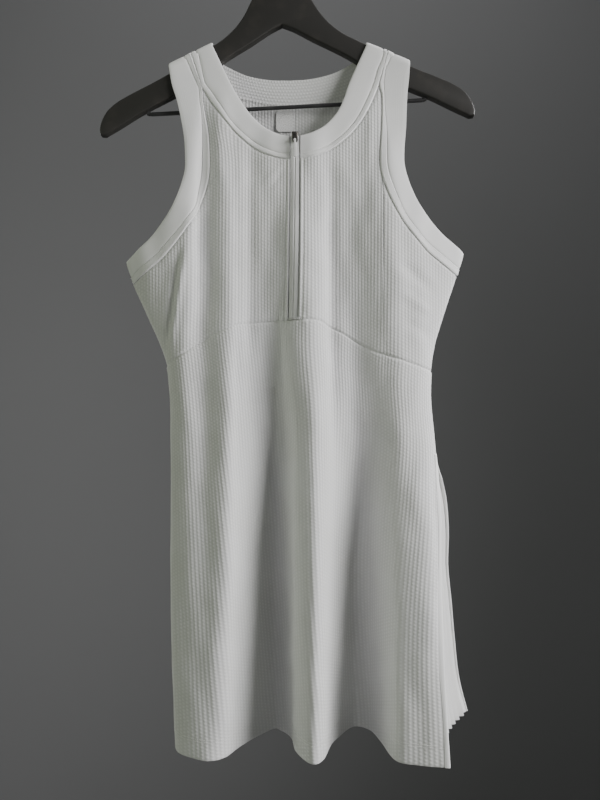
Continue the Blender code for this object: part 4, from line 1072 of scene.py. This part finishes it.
def skirt(front):
    """A skirt panel: ribs from the seam under the bodice to the hem, even along each row."""
    count = sheet_columns(front)
    fine = np.linspace(0, count, count * 24 + 1)
    fine_top = seam_drop(front, fine)
    rows = int((HEM_DROP - fine_top.min()) / SKIRT_ROW)
    crowd = np.full(len(fine), True)
    offsets = crowded_rows(HEM_DROP - fine_top, rows, crowd, crowd)
    drops = fine_top[None] + offsets
    points = sheet_point(front, np.broadcast_to(fine, drops.shape), drops)
    step = np.linalg.norm(np.diff(points[..., :2], axis=1), axis=-1)
    along = np.concatenate([np.zeros((rows + 1, 1)), np.cumsum(step, axis=1)], axis=1)
    even = np.linspace(0, 1, SKIRT_RIBS * RIB_COLUMNS + 1)
    column = np.array([np.interp(even * reach[-1], reach, fine) for reach in along])
    share = np.array([np.interp(spots, fine, offset / (HEM_DROP - fine_top))
                      for spots, offset in zip(column, offsets)])
    top = seam_drop(front, column)
    drop = top + share * (HEM_DROP - top)
    from_top, from_hem = drop - top, HEM_DROP - drop
    fade = ease(from_top / SEAM_FADE) * ease(from_hem / HEM_FADE)
    dip = bumps(from_top, SEAM_GROOVE) + bumps(from_hem, HEM_GROOVES)
    face = "front" if front else "back"
    knit_panel("skirt_%s_panel" % face, front, column, drop, dip, fade,
               "skirt_" + face)


def half_bodice(front, side):
    """Grid of across and drop for one half of a bodice panel, from the centre to the side.

    Its columns stand upright, so the ribs do too. The upper rows lie between neck and armhole, and
    the lower ones reach out to the side seam. The seams round the half come with the grid.
    """
    steps = SEAM_STEPS
    if front:
        neck = pattern_curve(NECK_FRONT, 2, steps, side)[:5 * steps + 1]
    else:
        neck = pattern_curve(NECK_BACK, 2, steps, side)[steps:][::-1]
    arm = pattern_curve(arm_rows(front), 2, steps, side)[steps:]
    neck[:, 0] *= side
    arm[:, 0] *= side
    inmost = int(np.argmin(arm[:, 0]))
    first = ZIP_HALF_WIDTH if front else 0.0
    inside, corner = arm[inmost, 0], arm[-1, 0] - CORNER_CUT
    pitch = RIB_PITCH / RIB_COLUMNS
    inner = np.linspace(first, inside, int(round((inside - first) / pitch)) + 1)
    outer = np.linspace(inside, corner, int(round((corner - inside) / pitch)) + 1)[1:]
    place_across = np.concatenate([inner, outer])
    from_arm = np.arange(len(place_across)) >= len(inner)

    bend = ease((inner - (inside - LEAN_WIDTH)) / LEAN_WIDTH)
    top = np.interp(inner + bend * (arm[0, 0] - inside), neck[:, 0], neck[:, 1])
    sag = max(MIDDLE_SAG, neck[0, 1] + BELOW_NECK - arm[inmost, 1])
    middle = arm[inmost, 1] + sag * (1 - (inner / inside) ** 2)
    on_seam = np.full(len(inner), True)
    drop_upper = top[None] + crowded_rows(middle - top, BODICE_UPPER_ROWS, on_seam, ~on_seam)
    lean = np.interp(drop_upper[:, -1], arm[:inmost + 1, 1], arm[:inmost + 1, 0]) - inside

    bottom_drop = float(seam_drop(front, np.array([side_column(front, side)]))[0])
    side_drops = np.linspace(arm[-1, 1], bottom_drop, 60)
    side_across = side * read_side(LEFT_SIDE if side < 0 else RIGHT_SIDE, side_drops)[:, 0]
    seam = np.asarray(FRONT_SEAM if front else BACK_SEAM, float)
    order = np.argsort(side_across)
    by_side = np.interp(place_across, side_across[order], side_drops[order])
    by_seam = through(seam[:, 0], seam[:, 1], side * place_across)
    bottom = np.where(place_across > side_across[-1], by_side, by_seam)
    low_top = np.concatenate([middle, np.interp(outer, arm[inmost:, 0], arm[inmost:, 1])])
    everywhere = np.full(len(from_arm), True)

    total = BODICE_UPPER_ROWS + BODICE_LOWER_ROWS + 1
    across = np.broadcast_to(place_across, (total, len(place_across))).copy()
    drop = np.broadcast_to(low_top, across.shape).copy()
    across[:BODICE_UPPER_ROWS + 1, :len(inner)] = inner[None] + bend[None] * lean[:, None]
    drop[:BODICE_UPPER_ROWS + 1, :len(inner)] = drop_upper
    drop[BODICE_UPPER_ROWS:] = low_top[None] + crowded_rows(
        bottom - low_top, BODICE_LOWER_ROWS, from_arm, everywhere)
    return across, drop, len(inner) - 1, [neck, arm, np.stack([place_across, bottom], axis=-1)]


def seam_relief(front, across, drop, seams):
    """How the cloth dips at its seams, and how far the ribs fade there."""
    nearest = np.full(across.shape, 1e9)
    for curve in seams:
        nearest = np.minimum(nearest, distance_to(resample(curve, 1.0), across, drop))
    dip = bumps(nearest, SEAM_GROOVE)
    fade = ease(nearest / SEAM_FADE)
    if front:
        from_zip = np.abs(across - ZIP_HALF_WIDTH)
        dip += bumps(from_zip, ZIP_EDGE_ROLL)
        fade *= ease((from_zip - ZIP_ROLL_WIDTH) / ZIP_FADE)
    return dip, fade


def bodice_front(side):
    """Half of the front bodice."""
    across, drop, split, seams = half_bodice(True, side)
    dip, fade = seam_relief(True, across, drop, seams)
    node = "bodice_front_" + side_word(side)
    knit_panel(node + "_panel", True, column_to_seam(True, side * across, drop), drop, dip, fade,
               node,
               cuts=[(BODICE_UPPER_ROWS, split, across.shape[1])])


def joined(left, right):
    """One grid over the whole back from its two halves, which both start at the centre."""
    return np.concatenate([left[:, ::-1], right[:, 1:]], axis=1)


def bodice_back():
    """The back bodice in one piece."""
    left_across, left_drop, left_split, left_seams = half_bodice(False, -1)
    right_across, right_drop, right_split, right_seams = half_bodice(False, 1)
    left_dip, left_fade = seam_relief(False, left_across, left_drop, left_seams)
    right_dip, right_fade = seam_relief(False, right_across, right_drop, right_seams)
    across = joined(-left_across, right_across)
    drop = joined(left_drop, right_drop)
    centre = left_across.shape[1] - 1
    knit_panel("bodice_back_panel", False, column_to_seam(False, across, drop), drop,
               joined(left_dip, right_dip), joined(left_fade, right_fade),
               "bodice_back",
               start=-centre % RIB_COLUMNS, lined=True,
               cuts=[(BODICE_UPPER_ROWS, 0, centre - left_split),
                     (BODICE_UPPER_ROWS, centre + right_split, across.shape[1])])


# Bands


def band_grid(side, front_rows, back_rows, cells, reaches_side):
    """Middle points of a band from the front, over the shoulder, to the back."""
    cells = np.asarray(cells)
    rings = []
    for front, rows in ((True, front_rows), (False, back_rows)):
        edge = pattern_curve(rows, 1, BAND_STEPS, side)
        seam = pattern_curve(rows, 2, BAND_STEPS, side)
        columns = [column_at(front, curve[:, 0], curve[:, 1]) for curve in (edge, seam)]
        if reaches_side:
            last = -1 if rows[-1][0] == "side seam" else 0
            columns[0][last] = columns[1][last] = side_column(front, side)
        column = columns[0][:, None] * (1 - cells) + columns[1][:, None] * cells
        drop = edge[:, 1:] * (1 - cells) + seam[:, 1:] * cells
        rings.append(cloth(front, column, drop)[0])
        if front:
            across = edge[-1, 0] * (1 - cells) + seam[-1, 0] * cells
            over = [over_board(across, k / OVER_STEPS) for k in range(1, OVER_STEPS)]
            rings.append(np.array(over))
    return np.concatenate(rings)


def band_uv(points):
    """Place on a band in metres: across it, and along it."""
    along = np.linalg.norm(np.diff(points[:, len(points[0]) // 2], axis=0), axis=-1)
    across = np.linalg.norm(np.diff(points[len(points) // 2], axis=0), axis=-1)
    v = np.concatenate([[0], np.cumsum(along)]) * MM
    u = np.concatenate([[0], np.cumsum(across)]) * MM
    return np.stack(np.meshgrid(u, v), axis=-1)


def neck_band():
    """Smooth band from the zip over the left shoulder, round the back and to the zip again."""
    cells, rise = np.array(NECK_PROFILE).T
    left = band_grid(-1, NECK_FRONT, NECK_BACK, cells, False)
    right = band_grid(1, NECK_FRONT, NECK_BACK, cells, False)
    points = np.concatenate([left, right[::-1][1:]])
    normals = grid_normals(points, False)
    behind = len(NECK_FRONT) * BAND_STEPS + OVER_STEPS
    cloth_piece("neck_band", points, normals, BAND_WALL, np.broadcast_to(rise, points.shape[:2]),
                band_uv(points), [BAND_KNIT, BAND_LINING],
                ["neckband"], lined_rows=range(behind + 1, len(points) - behind))
    return points, normals


def arm_band(side):
    """Smooth band round an armhole, a closed ring."""
    cells, rise = np.array(ARM_PROFILE).T
    points = band_grid(side, arm_rows(True)[::-1], arm_rows(False), cells, True)[:-1]
    normals = side * grid_normals(points, True)
    cloth_piece("arm_band_" + side_word(side), points, normals, BAND_WALL,
                np.broadcast_to(rise, points.shape[:2]), band_uv(points), [BAND_KNIT],
                ["armband_" + side_word(side)], closed=True)
    return points, normals


# Pleats and slit


def pleated_inset():
    """Fine pleats that fan out in the right side slit, with a zigzag hem."""
    rows, parts = 46, 2 * PLEATS * PARTS_A_SIDE
    drops = np.linspace(PARTING_DROP, HEM_DROP - INSET_HEM_LIFT, rows + 1)
    overlap = INSET_OVERLAP * ease((drops - PARTING_DROP) / OVERLAP_OVER)
    ends = []
    for front, set_back in ((True, overlap), (False, 0.0)):
        column = sheet_columns(front) - INSET_SET_IN - set_back
        point = sheet_point(front, column, drops)
        inward = -sheet_normal(front, column, drops)
        ends.append(point + inward * (KNIT_WALL / 2 + INSET_CLEARANCE))
    start, end = ends
    span = end - start
    length = np.linalg.norm(span[:, :2], axis=-1)
    aside = np.stack([span[:, 1], -span[:, 0], 0 * length], axis=-1) / length[:, None]
    down = np.linspace(0, 1, rows + 1)
    depth = length / (2 * PLEATS) * (PLEAT_TOP_DEPTH + PLEAT_GAIN * down ** PLEAT_RISE)
    part = np.linspace(0, 1, parts + 1)
    wave = np.arcsin(PLEAT_EDGE * np.cos(part * 2 * PLEATS * math.pi)) / math.asin(PLEAT_EDGE)
    wave = wave * ease(part * PLEATS) * ease((1 - part) * PLEATS)
    bow = -INSET_BOW * (length / INSET_LENGTH)[:, None] * 4 * part * (1 - part)
    out = bow + depth[:, None] * wave
    points = start[:, None] + span[:, None] * part[None, :, None] + aside[:, None] * out[..., None]
    normals = grid_normals(points, False)
    normals = normals * np.sign(np.sum(normals * aside[:, None], axis=-1, keepdims=True))
    u = np.cumsum(np.linalg.norm(np.gradient(points, axis=1), axis=-1), axis=1) * MM
    uv = np.stack([u, np.broadcast_to(drops[:, None] * MM, u.shape)], axis=-1)
    cloth_piece("pleated_inset", points, normals, PLEAT_WALL, np.zeros(u.shape), uv, [PLEAT_KNIT],
                ["side_pleats"])


def slit_binding(front):
    """Smooth binding folded round a free edge of the slit, from the slit's top to the hem."""
    rows = 80
    drops = np.linspace(PARTING_DROP - BINDING_ABOVE, HEM_DROP, rows + 1)
    count = float(sheet_columns(front))
    edge, normal = cloth(front, np.full(rows + 1, count), drops)
    inner, _ = cloth(front, np.full(rows + 1, count - COLUMNS_IN), drops)
    way = inner - edge
    way = way / np.linalg.norm(way, axis=-1, keepdims=True)
    profile = np.array(BINDING_PROFILE)
    swell = 1 + BINDING_SWELL * np.sin(drops / BINDING_WAVE)[:, None]
    points = (edge[:, None] + way[:, None] * profile[None, :, :1] * swell[..., None]
              + normal[:, None] * profile[None, :, 1:])
    normals = grid_normals(points, False)
    out = np.sign(np.sum(normals * -way[:, None], axis=-1))[:, len(profile) // 2].mean()
    normals = normals * (1 if out > 0 else -1)
    u = np.broadcast_to(np.linspace(0, BINDING_OPENED, len(profile)), points.shape[:2])
    uv = np.stack([u, np.broadcast_to(drops[:, None] * MM, u.shape)], axis=-1)
    face = "front" if front else "back"
    cloth_piece("slit_binding_" + face, points, normals, BINDING_WALL, np.zeros(u.shape), uv,
                [BAND_KNIT])


# Zip


def zip_tape(side):
    """One tape of the zip, with a folded edge at the middle and a groove beside it."""
    parts, rows = 18, 90
    offset = np.linspace(0.0, TAPE_WIDTH, parts + 1)
    drop = np.linspace(ZIP_TOP_DROP - TAPE_ABOVE, ZIP_END_DROP, rows + 1)
    across, drop = np.meshgrid(side * (offset + TAPE_GAP), drop)
    middle, normals = cloth(True, column_at(True, across, drop), drop)
    height = bumps(offset, TAPE_ROLL) - TAPE_SINK * ease((offset - SINK_FROM) / SINK_OVER)
    height = np.broadcast_to(height, across.shape)
    tucked = ease((offset - ZIP_HALF_WIDTH + TUCK_BEFORE) / TUCK_OVER)
    middle = middle - normals * (TAPE_BEHIND + TAPE_TUCK * tucked)[:, None]
    uv = np.stack([across * MM, drop * MM], axis=-1)
    if side < 0:
        middle, normals, height, uv = (grid[:, ::-1] for grid in (middle, normals, height, uv))
    node = "zip_tape_" + side_word(side)
    cloth_piece(node + "_cloth", middle, normals, TAPE_WALL, height, uv, [TAPE],
                [node])


def box_between(bm, low, high):
    """Box between two corners, in metres."""
    low, high = Vector(low), Vector(high)
    made = bmesh.ops.create_cube(bm, size=1.0, matrix=Matrix.Translation((low + high) / 2)
                                 @ Matrix.Diagonal((*(high - low), 1.0)))
    return made["verts"]


def rounded(bm, verts, offset, segments=3):
    """Bevels every edge of a new shape."""
    edges = list({edge for vert in verts for edge in vert.link_edges})
    bmesh.ops.bevel(bm, geom=edges, offset=offset * MM, segments=segments, profile=0.5,
                    affect="EDGES", material=-1)


def rounded_box(bm, centre, x, y, z, offset, segments=3):
    """Box with rounded edges. Each pair of limits is in millimetres from the centre."""
    limits = np.array([x, y, z]) * MM + np.array(centre)[:, None]
    rounded(bm, box_between(bm, limits[:, 0], limits[:, 1]), offset, segments)


def zip_slider():
    """Slider: a waisted body with rounded edges, its raised bridge and the pin."""
    low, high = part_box("zip_slider")
    pull_low, pull_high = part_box("zip_pull")
    centre = (low.x + high.x) / 2
    pin = Vector((centre, (pull_low.y + pull_high.y) / 2, pull_high.z - TAB_EYE * MM))
    face = high.y - SLIDER_THICKNESS * MM
    from_pin = (face - pin.y) / MM
    bm = bmesh.new()
    body = box_between(bm, (low.x, face, low.z), (high.x, high.y, high.z))
    for vert in body:
        if vert.co.z < (low.z + high.z) / 2:
            vert.co.x = centre + (vert.co.x - centre) * SLIDER_WAIST
    rounded(bm, body, 0.7)
    rounded_box(bm, (centre, face, high.z), (-2.6, 2.6), (-0.5, 0.2), (-4.2, -0.8), 0.4)
    for x in ((-3.3, -2.05), (2.05, 3.3)):
        rounded_box(bm, pin, x, (-1.05, from_pin + 0.3), (-1.2, 1.2), 0.35)
    rounded_box(bm, pin, (-3.0, 3.0), (-1.15, from_pin + 0.2), (1.95, 3.0), 0.4)
    rod(bm, Matrix.Translation(pin) @ Matrix.Rotation(math.pi / 2, 4, "Y"), 0.6, 5.4, 20)
    mesh = finish_mesh("slider_body", bm, 40.0)
    place("slider_body", mesh, [GUNMETAL], ["zip_slider"])
    return pin


def pull_tab(pin):
    """Moulded tab: an eye round the pin, a waist and a grip with a raised rim and three cross ribs."""
    bm = bmesh.new()
    outline = [(TAB_EYE * MM * math.cos(angle), TAB_EYE * MM * math.sin(angle))
               for angle in np.radians(np.linspace(-52, 232, 19))]
    outline += [(-x * MM, z * MM) for x, z in TAB_SIDE]
    outline.append((0.0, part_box("zip_pull")[0].z - pin.z))
    outline += [(x * MM, z * MM) for x, z in TAB_SIDE[::-1]]
    half_wall = TAB_WALL / 2 * MM
    face = bm.faces.new([bm.verts.new((pin.x + x, pin.y + half_wall, pin.z + z)) for x, z in outline])
    for item in bmesh.ops.extrude_face_region(bm, geom=[face])["geom"]:
        if isinstance(item, bmesh.types.BMVert):
            item.co.y = pin.y - half_wall
    rim = [edge for edge in bm.edges if abs(edge.verts[0].co.y - edge.verts[1].co.y) < 1e-7]
    bmesh.ops.bevel(bm, geom=rim, offset=0.3 * MM, segments=2, profile=0.5, affect="EDGES", material=-1)
    for z in TAB_RIBS:
        rounded_box(bm, pin, (-1.7, 1.7), (-TAB_WALL / 2 - 0.28, -TAB_WALL / 2 + 0.2),
                    (z - 0.4, z + 0.4), 0.2, 2)
    mesh = finish_mesh("pull_tab", bm, 40.0)
    place("pull_tab", mesh, [TAB_WHITE], ["zip_pull"], body="pull")


# Label


def neck_label():
    """Bare label inside the back neck, with clipped corners."""
    parts, rows = 10, 22
    (left, right), (top, bottom) = LABEL_SIDES, LABEL_ENDS
    drop = np.linspace(top, bottom, rows + 1)[:, None]
    cut = np.maximum(np.maximum(LABEL_CLIP - (drop - top), LABEL_CLIP - (bottom - drop)), 0.0)
    across = left + cut + (right - left - cut) * np.linspace(0, 1, parts + 1)[None]
    drop = np.broadcast_to(drop, across.shape)
    points, normals = cloth(False, column_at(False, across, drop), drop)
    swing = LABEL_SWING * ((drop - top) / (bottom - top)) ** 1.5
    away = KNIT_WALL / 2 + LABEL_CLEARANCE + LABEL_WALL / 2 + swing
    points = points - normals * away[..., None]
    uv = np.stack([across * MM, drop * MM], axis=-1)
    cloth_piece("label_tab", points, normals, LABEL_WALL, np.zeros(across.shape), uv, [LABEL],
                ["neck_label"])


# Sewing


def stitch_run(bm, line, lift, pitch=2.6, length=2.0, thickness=0.22):
    """Row of stitches along a line of points, raised along the directions in `lift`."""
    places = resample(np.concatenate([line, lift], axis=1), pitch)
    middle = places[:, :3] + places[:, 3:]
    way = np.gradient(middle, axis=0)
    way = way / np.linalg.norm(way, axis=-1, keepdims=True)
    for point, direction, up in zip(middle, way, places[:, 3:]):
        forward = Vector(direction)
        upward = Vector(up).normalized()
        sideways = forward.cross(upward).normalized()
        upward = sideways.cross(forward)
        turn = Matrix((sideways, upward, forward)).transposed().to_4x4()
        turn.translation = in_metres(point)
        rod(bm, turn, thickness, length)


def sewing(name, runs, **sizes):
    """One piece that holds several rows of stitches."""
    bm = bmesh.new()
    for line, lift in runs:
        stitch_run(bm, line, lift, **sizes)
    place(name, finish_mesh(name, bm, 60.0), [THREAD])


def band_run(points, normals, profile, cell, closed=False):
    """Line along a band at a place across it, with the way up to the cloth's face."""
    cells, rises = np.array(profile).T
    at = float(np.interp(cell, cells, np.arange(len(cells))))
    low, part = int(at), at - int(at)
    high = min(low + 1, len(cells) - 1)
    line = points[:, low] * (1 - part) + points[:, high] * part
    lift = normals[:, low] * (1 - part) + normals[:, high] * part
    lift = lift * (BAND_WALL / 2 + float(np.interp(cell, cells, rises)) + 0.05)
    if closed:
        line, lift = (np.concatenate([grid, grid[:1]]) for grid in (line, lift))
    return line, lift


def front_run(across, drop, rise):
    """Line on the front through places given by across and drop."""
    line, lift = cloth(True, column_at(True, across, drop), drop)
    return line, lift * (KNIT_WALL / 2 + rise)


def panel_stitches():
    """Rows of stitches above the hem and beside the zip."""
    runs = []
    for front in (True, False):
        column = np.linspace(0.02, sheet_columns(front) - 0.15, 420)
        for above in (HEM_DEPTH, HEM_DEPTH + 2.6):
            line, lift = cloth(front, column, np.full(len(column), HEM_DROP - above))
            runs.append((line, lift * (KNIT_WALL / 2 + 0.1)))
    sewing("hem_stitches", runs, length=2.0, thickness=0.2)
    drop = np.linspace(ZIP_TOP_DROP + 28.0, ZIP_END_DROP - 1.0, 60)
    runs = [front_run(np.full(len(drop), side * (ZIP_HALF_WIDTH + 3.4)), drop, -0.3)
            for side in (-1, 1)]
    sewing("zip_stitches", runs, length=1.8, thickness=0.2, pitch=2.4)


def bar_tack():
    """Close row of upright stitches across the end of the zip."""
    bm = bmesh.new()
    leg = np.array([ZIP_END_DROP - 2.6, ZIP_END_DROP - 0.2])
    for place_across in np.linspace(-ZIP_HALF_WIDTH - 1.0, ZIP_HALF_WIDTH + 1.0, 26):
        line, lift = front_run(np.full(2, place_across), leg, 0.35)
        rod(bm, Matrix.Translation(in_metres((line + lift).mean(axis=0))), 0.28, 2.4)
    place("bar_tack", finish_mesh("bar_tack", bm, 60.0), [THREAD])


# Hanger


def inset_outline(outline, inset):
    """A closed outline drawn inwards by a small distance."""
    way = np.roll(outline, -1, axis=0) - np.roll(outline, 1, axis=0)
    way = way / np.linalg.norm(way, axis=-1, keepdims=True)
    return outline + np.stack([-way[:, 1], way[:, 0]], axis=-1) * inset


def hanger_board():
    """Flat arched board with rounded edges, built up from front to back in layers."""
    steps, turns = 5, np.radians(np.linspace(0, 90, 6))
    right = np.concatenate([smooth_outline(BOARD_TOP, steps), smooth_outline(BOARD_BOTTOM, steps)])
    outline = np.concatenate([right, right[::-1][1:-1] * (-1, 1)])
    flat = BOARD_THICKNESS / 2 - BOARD_ROUNDING
    front = [(-flat - BOARD_ROUNDING * math.cos(a), BOARD_ROUNDING * (1 - math.sin(a))) for a in turns]
    layers = front + [(-depth, inset) for depth, inset in front[::-1]]
    bm = bmesh.new()
    order = bm.verts.layers.int.new("order")
    face = bm.faces.new([bm.verts.new((x, 0, -drop)) for x, drop in outline])
    for index, vert in enumerate(face.verts):
        vert[order] = index
    for number, (depth, inset) in enumerate(layers):
        if number:
            behind = face
            pushed = bmesh.ops.extrude_face_region(bm, geom=[behind])["geom"]
            face = [item for item in pushed if isinstance(item, bmesh.types.BMFace)][0]
            if number > 1:
                bmesh.ops.delete(bm, geom=[behind], context="FACES_ONLY")
        points = inset_outline(outline, inset)
        for vert in face.verts:
            across, drop = points[vert[order]]
            vert.co = Vector((across, depth, -drop)) * MM
    bmesh.ops.transform(bm, matrix=Matrix.Rotation(-HANGER_TILT, 4, "Y"), verts=bm.verts)
    mesh = finish_mesh("board", bm, 60.0)
    mesh.attributes.remove(mesh.attributes["order"])
    place("board", mesh, [BOARD_BLACK], ["hanger_board"])


def wire(name, route, diameter, material, node):
    """Round wire along a smooth route, as a mesh."""
    curve = bpy.data.curves.new(name, "CURVE")
    curve.dimensions = "3D"
    curve.bevel_depth = diameter / 2 * MM
    curve.bevel_resolution = 5
    curve.use_fill_caps = True
    spline = curve.splines.new("POLY")
    spline.points.add(len(route) - 1)
    turn = Matrix.Rotation(-HANGER_TILT, 4, "Y")
    for point, spot in zip(spline.points, route):
        point.co = (*(turn @ (Vector(spot) * MM)), 1.0)
    guide = bpy.data.objects.new(name, curve)
    bpy.context.scene.collection.objects.link(guide)
    mesh = bpy.data.meshes.new_from_object(guide.evaluated_get(bpy.context.evaluated_depsgraph_get()))
    bpy.data.objects.remove(guide, do_unlink=True)
    mesh.name = name
    mesh.shade_smooth()
    mesh.set_sharp_from_angle(angle=math.radians(50))
    mesh.materials.clear()
    place(name, mesh, [material], [node])


def hanger_metal():
    """The hook and the trouser bar."""
    centre = HOOK_WIRE / 2 - HOOK_RADIUS
    arc = [(HOOK_RADIUS * math.cos(a), 0, centre + HOOK_RADIUS * math.sin(a))
           for a in np.radians(np.linspace(HOOK_START, HOOK_END, 24))]
    shank = [(0, 0, -BOARD_TOP[0][1] + REST_GAP)] + [(x, 0, z) for x, z in HOOK_SHANK]
    rough = np.array(shank + arc)
    wire("hook", smooth_outline(rough, 3).tolist(), HOOK_WIRE, HOOK_STEEL, "hanger_hook")
    lower = np.asarray(BOARD_BOTTOM[::-1], float)
    end_drop = float(np.interp(BAR_END_ACROSS, lower[:, 0], lower[:, 1])) + BAR_END_GAP
    half = BAR_HALF + ((BAR_END_ACROSS, end_drop),)
    route = [(x, 0, -drop) for x, drop in half[::-1]] + [(-x, 0, -drop) for x, drop in half[1:]]
    wire("trouser_bar", smooth_outline(np.array(route), 4).tolist(), BAR_WIRE, BAR_BLACK,
         "hanger_bar")


# Studio


def paper(name, place_at, tilt, colour):
    """Large plain sheet of studio paper."""
    bm = bmesh.new()
    turn = Matrix.Translation(place_at) @ Matrix.Rotation(math.radians(tilt), 4, "X")
    bmesh.ops.create_grid(bm, x_segments=1, y_segments=1, size=PAPER_REACH, matrix=turn)
    mesh = bpy.data.meshes.new(name)
    bm.to_mesh(mesh)
    bm.free()
    sheet = bpy.data.objects.new(name, mesh)
    bpy.context.scene.collection.objects.link(sheet)
    material, shader, w, at = new_material(name + " paper", 0.9)
    patches = w.group(UNEVEN, Place=at["Object"], Patch_size=0.7, Grain_size=0.004)
    darker = tuple(0.94 * value for value in colour)
    w.feed(shader.inputs["Base Color"], w.mix(patches["Patches"], colour, darker))
    mesh.materials.append(material)


def studio():
    """Pale floor and a plain backdrop behind it, soft lights and the camera."""
    paper("studio_floor", (0.0, -0.4, FLOOR_LEVEL), 0.0, (0.55, 0.55, 0.55))
    paper("studio_backdrop", (0.0, BACKDROP_DISTANCE, 0.0), 90.0, (0.20, 0.20, 0.205))
    for name, spot, target, size, cone, power, colour in LAMPS:
        lamp = bpy.data.lights.new(name, "SPOT" if cone else "AREA")
        if cone:
            lamp.shadow_soft_size = size
            lamp.spot_size = math.radians(cone)
            lamp.spot_blend = 0.5
        else:
            lamp.size = size
        lamp.energy = power
        lamp.color = colour
        holder = bpy.data.objects.new(name, lamp)
        holder.location = spot
        way = Vector(target) - Vector(spot)
        holder.rotation_euler = way.to_track_quat("-Z", "Y").to_euler()
        bpy.context.scene.collection.objects.link(holder)
    world = bpy.data.worlds.new("studio air")
    world.use_nodes = True
    world.node_tree.nodes["Background"].inputs["Color"].default_value = AIR_COLOUR
    world.node_tree.nodes["Background"].inputs["Strength"].default_value = AIR_STRENGTH
    bpy.context.scene.world = world

    camera = bpy.data.cameras.new("camera")
    camera.lens = CAMERA_LENS
    camera.sensor_width = CAMERA_SENSOR
    holder = bpy.data.objects.new("camera", camera)
    holder.location = CAMERA_PLACE
    holder.rotation_euler = (math.radians(90), 0, 0)
    bpy.context.scene.collection.objects.link(holder)
    bpy.context.scene.camera = holder


skirt(True)
skirt(False)
bodice_front(-1)
bodice_front(1)
bodice_back()
neck_points, neck_normals = neck_band()
arm_grids = [arm_band(side) for side in (-1, 1)]
pleated_inset()
slit_binding(True)
slit_binding(False)
zip_tape(-1)
zip_tape(1)
pull_tab(zip_slider())
neck_label()
sewing("neck_stitches",
       [band_run(neck_points, neck_normals, NECK_PROFILE, cell) for cell in (0.835, 0.955)])
for (arm_points, arm_normals), side in zip(arm_grids, (-1, 1)):
    sewing("arm_stitches_" + side_word(side),
           [band_run(arm_points, arm_normals, ARM_PROFILE, cell, closed=True) for cell in (0.74, 0.93)])
panel_stitches()
bar_tack()
hanger_board()
hanger_metal()
studio()
